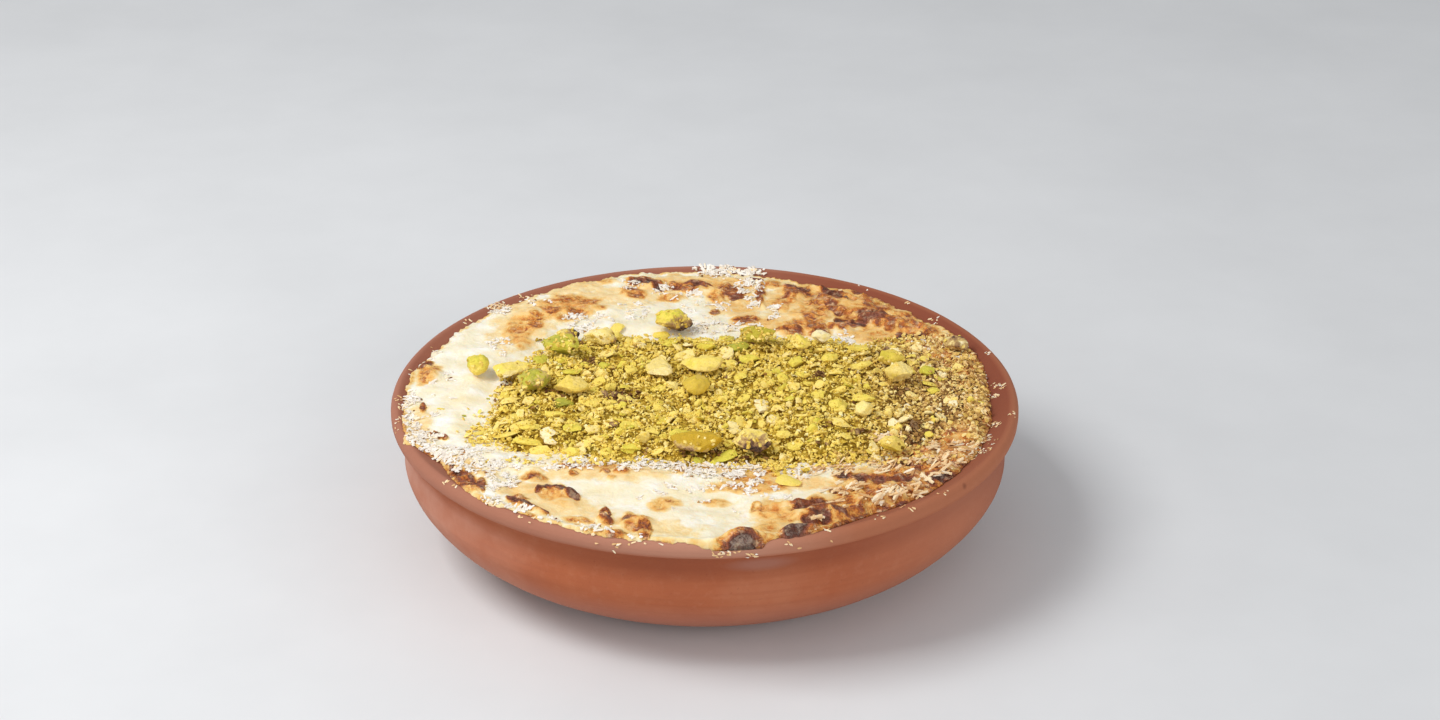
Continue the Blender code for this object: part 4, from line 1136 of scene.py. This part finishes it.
class Surface:
    """A Principled material, with short ways to add nodes and lay tones on it. Sizes are in mm."""

    def __init__(self, name, roughness, specular):
        self.material = bpy.data.materials.new(name)
        self.material.use_nodes = True
        self.tree = self.material.node_tree
        self.shader = self.tree.nodes["Principled BSDF"]
        self.fill(self.shader, {"Roughness": roughness, "Specular IOR Level": specular})
        self.place = self.node("TexCoord", "Object")
        self.colour = None

    def fill(self, node, inputs):
        """Gives a node's inputs, by name or number, a value or a link."""
        for key, value in inputs.items():
            named = [s for s in node.inputs if s.enabled and s.name == key]
            socket = named[0] if named else node.inputs[key]
            if isinstance(value, bpy.types.NodeSocket):
                self.tree.links.new(value, socket)
            else:
                socket.default_value = value

    def node(self, kind, result, inputs=(), **settings):
        """Adds a node and returns the output of that name."""
        node = self.tree.nodes.new("ShaderNode" + kind)
        for name, value in settings.items():
            setattr(node, name, value)
        self.fill(node, dict(inputs))
        return next(s for s in node.outputs if s.enabled and s.name == result)

    def scaled(self, scale, move=(0, 0, 0)):
        inputs = {"Vector": self.place, "Scale": scale, "Location": move}
        return self.node("Mapping", "Vector", inputs)

    def length(self, vector):
        return self.node("VectorMath", "Value", {0: vector}, operation="LENGTH")

    def axes(self):
        """How far right, back and up a place is, in mm."""
        inputs = {"Vector": self.scaled((1 / MM, 1 / MM, 1 / MM))}
        return self.node("SeparateXYZ", "X", inputs).node.outputs

    def spot(self, middle, halves, strength):
        """A soft oval spot: its strength in the middle, and 0 outside."""
        move = [-place / half for place, half in zip(middle, halves)]
        vector = self.scaled([1 / (half * MM) for half in halves], move)
        return self.spread(self.length(vector), 1.1, 0.4, 0, strength)

    def noise(self, size, detail, roughness, distortion=0.0, stretch=None):
        """Noise whose features are about that many mm across."""
        inputs = {
            "Vector": self.scaled(stretch) if stretch else self.place, "Scale": 1 / (size * MM),
            "Detail": detail, "Roughness": roughness, "Distortion": distortion,
        }
        return self.node("TexNoise", "Fac", inputs)

    def attribute(self, name):
        return self.node("Attribute", "Fac", attribute_name=name)

    def maths(self, operation, *values):
        return self.node("Math", "Value", enumerate(values), operation=operation)

    def times(self, first, second):
        return self.maths("MULTIPLY", first, second)

    def off(self, value, middle):
        return self.maths("ABSOLUTE", self.maths("SUBTRACT", value, middle))

    def sway(self, value, noise, amount):
        """A value, moved by a noise about its middle."""
        return self.maths("ADD", value, self.times(self.maths("SUBTRACT", noise, 0.5), amount))

    def spread(self, value, low, high, to_low=0.0, to_high=1.0):
        inputs = {"Value": value, "From Min": low, "From Max": high, "To Min": to_low, "To Max": to_high}
        return self.node("MapRange", "Result", inputs)

    def ramp(self, value, *stops):
        result = self.node("ValToRGB", "Color", {"Fac": value})
        elements = result.node.color_ramp.elements
        while len(elements) < len(stops):
            elements.new(0.5)
        for element, (position, *tone) in zip(elements, stops):
            element.position, element.color = position, rgb(*tone)
        return result

    def mix(self, share, first, second):
        inputs = {"Factor": share, "A": first, "B": second}
        return self.node("Mix", "Result", inputs, data_type="RGBA")

    def lay(self, tone, share, *span):
        """Lays a tone over the colour by a share, or by a value spread over a span."""
        share = self.spread(share, *span) if span else share
        tone = rgb(*tone) if isinstance(tone, tuple) else tone
        self.colour = self.mix(share, self.colour, tone)

    def bump(self, height, distance, strength, normal=None):
        inputs = {"Strength": strength, "Distance": distance * MM, "Height": height}
        if normal:
            inputs["Normal"] = normal
        return self.node("Bump", "Normal", inputs)

    def finish(self, normal=None, roughness=None):
        inputs = {"Base Color": self.colour, "Normal": normal, "Roughness": roughness}
        self.fill(self.shader, {name: socket for name, socket in inputs.items() if socket})
        return self.material


def terracotta():
    s = Surface("terracotta", 0.85, 0.2)
    x, y, z = s.axes()
    broad = s.noise(34, 4, 0.6)
    rings = s.noise(1, 3, 0.6, stretch=(0.012, 0.012, 0.55))
    s.colour = s.ramp(broad, (0.3, 178, 98, 62), (0.52, 188, 107, 69), (0.72, 198, 124, 88))
    s.lay((160, 88, 58), rings, 0.45, 0.75, 0, 0.3)
    s.lay((212, 146, 112), s.noise(3.2, 5, 0.7), 0.52, 0.8, 0, 0.3)
    s.lay((120, 66, 48), s.noise(0.9, 2, 0.5), 0.66, 0.78, 0, 0.4)
    lip = s.mix(s.spread(x, 14, 44), rgb(180, 134, 114), rgb(161, 103, 76))
    s.lay(s.mix(s.spread(x, -8, -52), lip, rgb(160, 112, 94)), z, 40.5, 43, 0, 0.75)
    # Painted shade in the groove under the lip, lighter towards the left.
    groove = s.spread(s.off(z, 37.5), 1.5, 6, 0.55, 0)
    s.lay((128, 66, 42), s.times(groove, s.spread(x, -80, -15, 0.3, 1)))
    s.lay((182, 138, 124), z, 24, 2, 0, 0.9)
    # Paler and pinker on the left wall, low down: dust, and a painted sheen on the left side.
    sheen_and_dust = s.times(s.spread(x, -45, -96, 0, 0.95), s.spread(z, 38, 34))
    s.lay((208, 162, 142), s.times(sheen_and_dust, s.spread(broad, 0.25, 0.55)))
    # Paler on the right wall, under the lip: dust, and painted light.
    s.lay((208, 154, 126), s.times(s.spread(x, 40, 90, 0, 0.5), s.spread(z, 42, 39)))
    s.lay((178, 142, 130), s.spot((16.5, -95, 37.4), (11, 8, 2.4), 0.4))
    s.lay((92, 44, 32), s.spot((76.9, -62, 45.2), (1.2, 1.6, 1.1), 0.8))
    # Darker inside the lip: oil soaked into the clay, and painted shade, more on the right and at the back.
    inner = s.spread(s.length(s.scaled((1, 1, 0))), 98.4 * MM, 96.6 * MM)
    stain_and_shade = s.times(s.spread(x, -60, 60, 0.45, 0.85), s.spread(y, -60, 0, 0.5, 1))
    s.lay((132, 68, 48), s.times(inner, stain_and_shade))
    normal = s.bump(rings, 0.25, 0.5, s.bump(s.noise(0.7, 4, 0.7), 0.12, 0.6))
    return s.finish(normal, s.spread(broad, 0.3, 0.7, 0.7, 0.88))


def baked_cream():
    s = Surface("baked_cream", 0.46, 0.2)
    glow = {"Subsurface Weight": 0.16, "Subsurface Radius": (1, 0.6, 0.35), "Subsurface Scale": 4 * MM}
    s.fill(s.shader, glow)
    brown, tint = s.attribute("brown"), s.noise(2.6, 4, 0.65)
    crusty = s.spread(brown, 0.3, 0.6)
    flecks = s.noise(2, 3, 0.6, stretch=(0.8, 1.3, 1))
    patchy = s.noise(2.2, 5, 0.7, 0.6)
    uneven = s.times(s.spread(brown, 0.28, 0.46, 0.3, 1.3), s.spread(brown, 0.5, 0.7, 1, 0.6))
    depth = s.sway(brown, patchy, uneven)
    crust = s.ramp(
        depth, (0, 248, 238, 210), (0.16, 247, 220, 164), (0.33, 240, 188, 106), (0.48, 220, 140, 62),
        (0.62, 174, 96, 48), (0.76, 130, 68, 42), (0.9, 84, 50, 40), (1, 150, 128, 114),
    )
    plum = s.times(s.spread(depth, 0.54, 0.68), s.spread(tint, 0.42, 0.58, 0, 0.75))
    crust = s.mix(s.times(plum, s.spread(depth, 0.9, 0.8)), crust, rgb(150, 96, 82))
    s.colour = s.ramp(s.noise(9, 4, 0.6), (0.3, 243, 227, 184), (0.5, 249, 239, 212), (0.66, 254, 250, 240))
    s.lay((240, 220, 172), tint, 0.52, 0.75, 0, 0.25)
    s.lay(crust, depth, 0.04, 0.16)
    # Darker lines along the crust's folds, in the creases the bump makes: browner crust, and painted shade.
    folds = s.off(s.noise(4, 3, 0.6, 1.2), 0.5)
    s.lay((110, 62, 44), s.times(s.spread(folds, 0.012, 0.04, 0.55, 0), crusty))
    # Pale flecks on the crust: paler skin, and painted highlight.
    pale = s.times(s.spread(flecks, 0.53, 0.66, 0, 0.75), crusty)
    s.lay((250, 218, 176), s.times(pale, s.spread(depth, 0.7, 0.52, 0.35, 1)))
    normal = s.bump(s.noise(4, 3, 0.5, 0.5), 1.2, 0.5)
    for height, distance, strength in (
        (s.times(patchy, s.spread(brown, 0.1, 0.5, 0.25, 1)), 0.9, 0.7),
        (s.times(s.spread(folds, 0, 0.08), crusty), 0.5, 0.8),
        (s.times(flecks, crusty), 0.3, 0.8),
    ):
        normal = s.bump(height, distance, strength, normal)
    return s.finish(normal, s.spread(tint, 0.3, 0.7, 0.34, 0.6))


def coconut():
    s = Surface("coconut", 0.6, 0.15)
    toast = s.attribute("toast")
    s.colour = s.ramp(s.noise(2, 2, 0.5), (0.35, 230, 220, 205), (0.6, 249, 243, 234))
    tanned = s.ramp(
        toast, (0.05, 248, 240, 224), (0.2, 248, 228, 188), (0.42, 236, 194, 138), (0.7, 176, 120, 66),
        (1, 92, 62, 38),
    )
    s.lay(tanned, toast, 0.06, 0.2)
    return s.finish(s.bump(s.noise(0.5, 2, 0.5), 0.06, 0.5))


def ground_pistachio():
    s = Surface("ground_pistachio", 0.85, 0.1)
    fine = s.noise(0.8, 3, 0.6)
    hue = s.sway(s.attribute("hue"), fine, 0.5)
    s.colour = s.ramp(
        hue, (0, 104, 72, 10), (0.2, 184, 148, 46), (0.4, 236, 205, 90), (0.6, 250, 223, 116),
        (0.8, 255, 234, 146), (1, 255, 247, 190),
    )
    s.lay((206, 194, 80), s.noise(9, 3, 0.6), 0.5, 0.66, 0, 0.15)
    brown = s.ramp(hue, (0, 98, 62, 42), (0.3, 178, 132, 80), (0.55, 234, 194, 124), (1, 255, 234, 184))
    s.lay(brown, s.times(s.attribute("tan"), 0.85))
    return s.finish(s.bump(fine, 0.15, 0.7))


def pistachio():
    s = Surface("pistachio_kernel", 0.5, 0.25)
    fine, veins = s.noise(1.3, 4, 0.65), s.noise(0.9, 4, 0.7)
    s.colour = s.ramp(
        s.sway(s.attribute("hue"), fine, 0.45), (0, 255, 240, 198), (0.2, 255, 232, 154),
        (0.4, 251, 223, 112), (0.56, 240, 218, 88), (0.7, 220, 207, 74), (0.85, 195, 188, 64),
        (1, 162, 160, 58),
    )
    s.lay((208, 164, 36), s.attribute("golden"))
    s.lay((166, 132, 42), veins, 0.56, 0.76, 0, 0.5)
    share = s.maths("ADD", s.attribute("skin"), s.spread(veins, 0.3, 0.7, 0.25, -0.25))
    skin = s.ramp(share, (0.3, 214, 184, 112), (0.6, 182, 144, 94), (0.85, 112, 80, 60), (1, 56, 42, 40))
    s.lay(skin, share, 0.15, 0.4)
    normal = s.bump(veins, 0.3, 0.7, s.bump(fine, 0.6, 0.7))
    return s.finish(normal, s.spread(fine, 0.3, 0.7, 0.4, 0.6))


def plain_floor():
    s = Surface("pale_floor", 0.7, 0.2)
    s.colour = s.ramp(s.noise(90, 4, 0.6), (0.3, 219, 220, 221), (0.7, 225, 226, 227))
    return s.finish()


# ---------------------------------------------------------------- stage


def make_stage():
    corners = [(a * FLOOR_REACH, b * FLOOR_REACH, 0) for a, b in ((-1, -1), (1, -1), (1, 1), (-1, 1))]
    floor = new_object("floor", corners, [(0, 1, 2, 3)], False)
    floor.data.materials.append(plain_floor())
    world = bpy.data.worlds.new("soft")
    bpy.context.scene.world = world
    world.use_nodes = True
    background = world.node_tree.nodes["Background"].inputs
    background["Color"].default_value, background["Strength"].default_value = SKY
    for name, place, size, power in LIGHTS:
        add_light(name, place, size, power)
    bpy.context.scene.view_settings.view_transform = "Standard"


def add_light(name, place, size, power):
    data = bpy.data.lights.new(name, "AREA")
    data.size, data.energy = size, power
    light = in_scene(name, data)
    light.location = place
    light.rotation_euler = (CAMERA_TARGET - Vector(place)).to_track_quat("-Z", "Y").to_euler()


def make_camera():
    data = bpy.data.cameras.new("camera")
    data.sensor_width = SENSOR
    data.lens = FOCAL_PX / PICTURE[0] * SENSOR
    data.shift_x = (PICTURE[0] / 2 - AXIS_PX[0]) / PICTURE[0]
    data.shift_y = (AXIS_PX[1] - PICTURE[1] / 2) / PICTURE[0]
    data.clip_start, data.clip_end = 0.01, 30
    camera = in_scene("camera", data)
    camera.location = CAMERA_PLACE
    camera.rotation_euler = FORWARD.to_track_quat("-Z", "Y").to_euler()
    bpy.context.scene.camera = camera


make_camera()
make_stage()
nut_surface, bed_surface = pistachio(), ground_pistachio()
dish = make_dish(terracotta())
cream = make_cream(baked_cream())
bed = make_bed(bed_surface)
nuts = [make_kernel(number, look, nut_surface) for number, look in KERNELS.items()]
scatter_nuts([cream, bed], nuts, bed_surface, nut_surface)
scatter_coconut(tree_of([dish, cream, bed]), coconut())
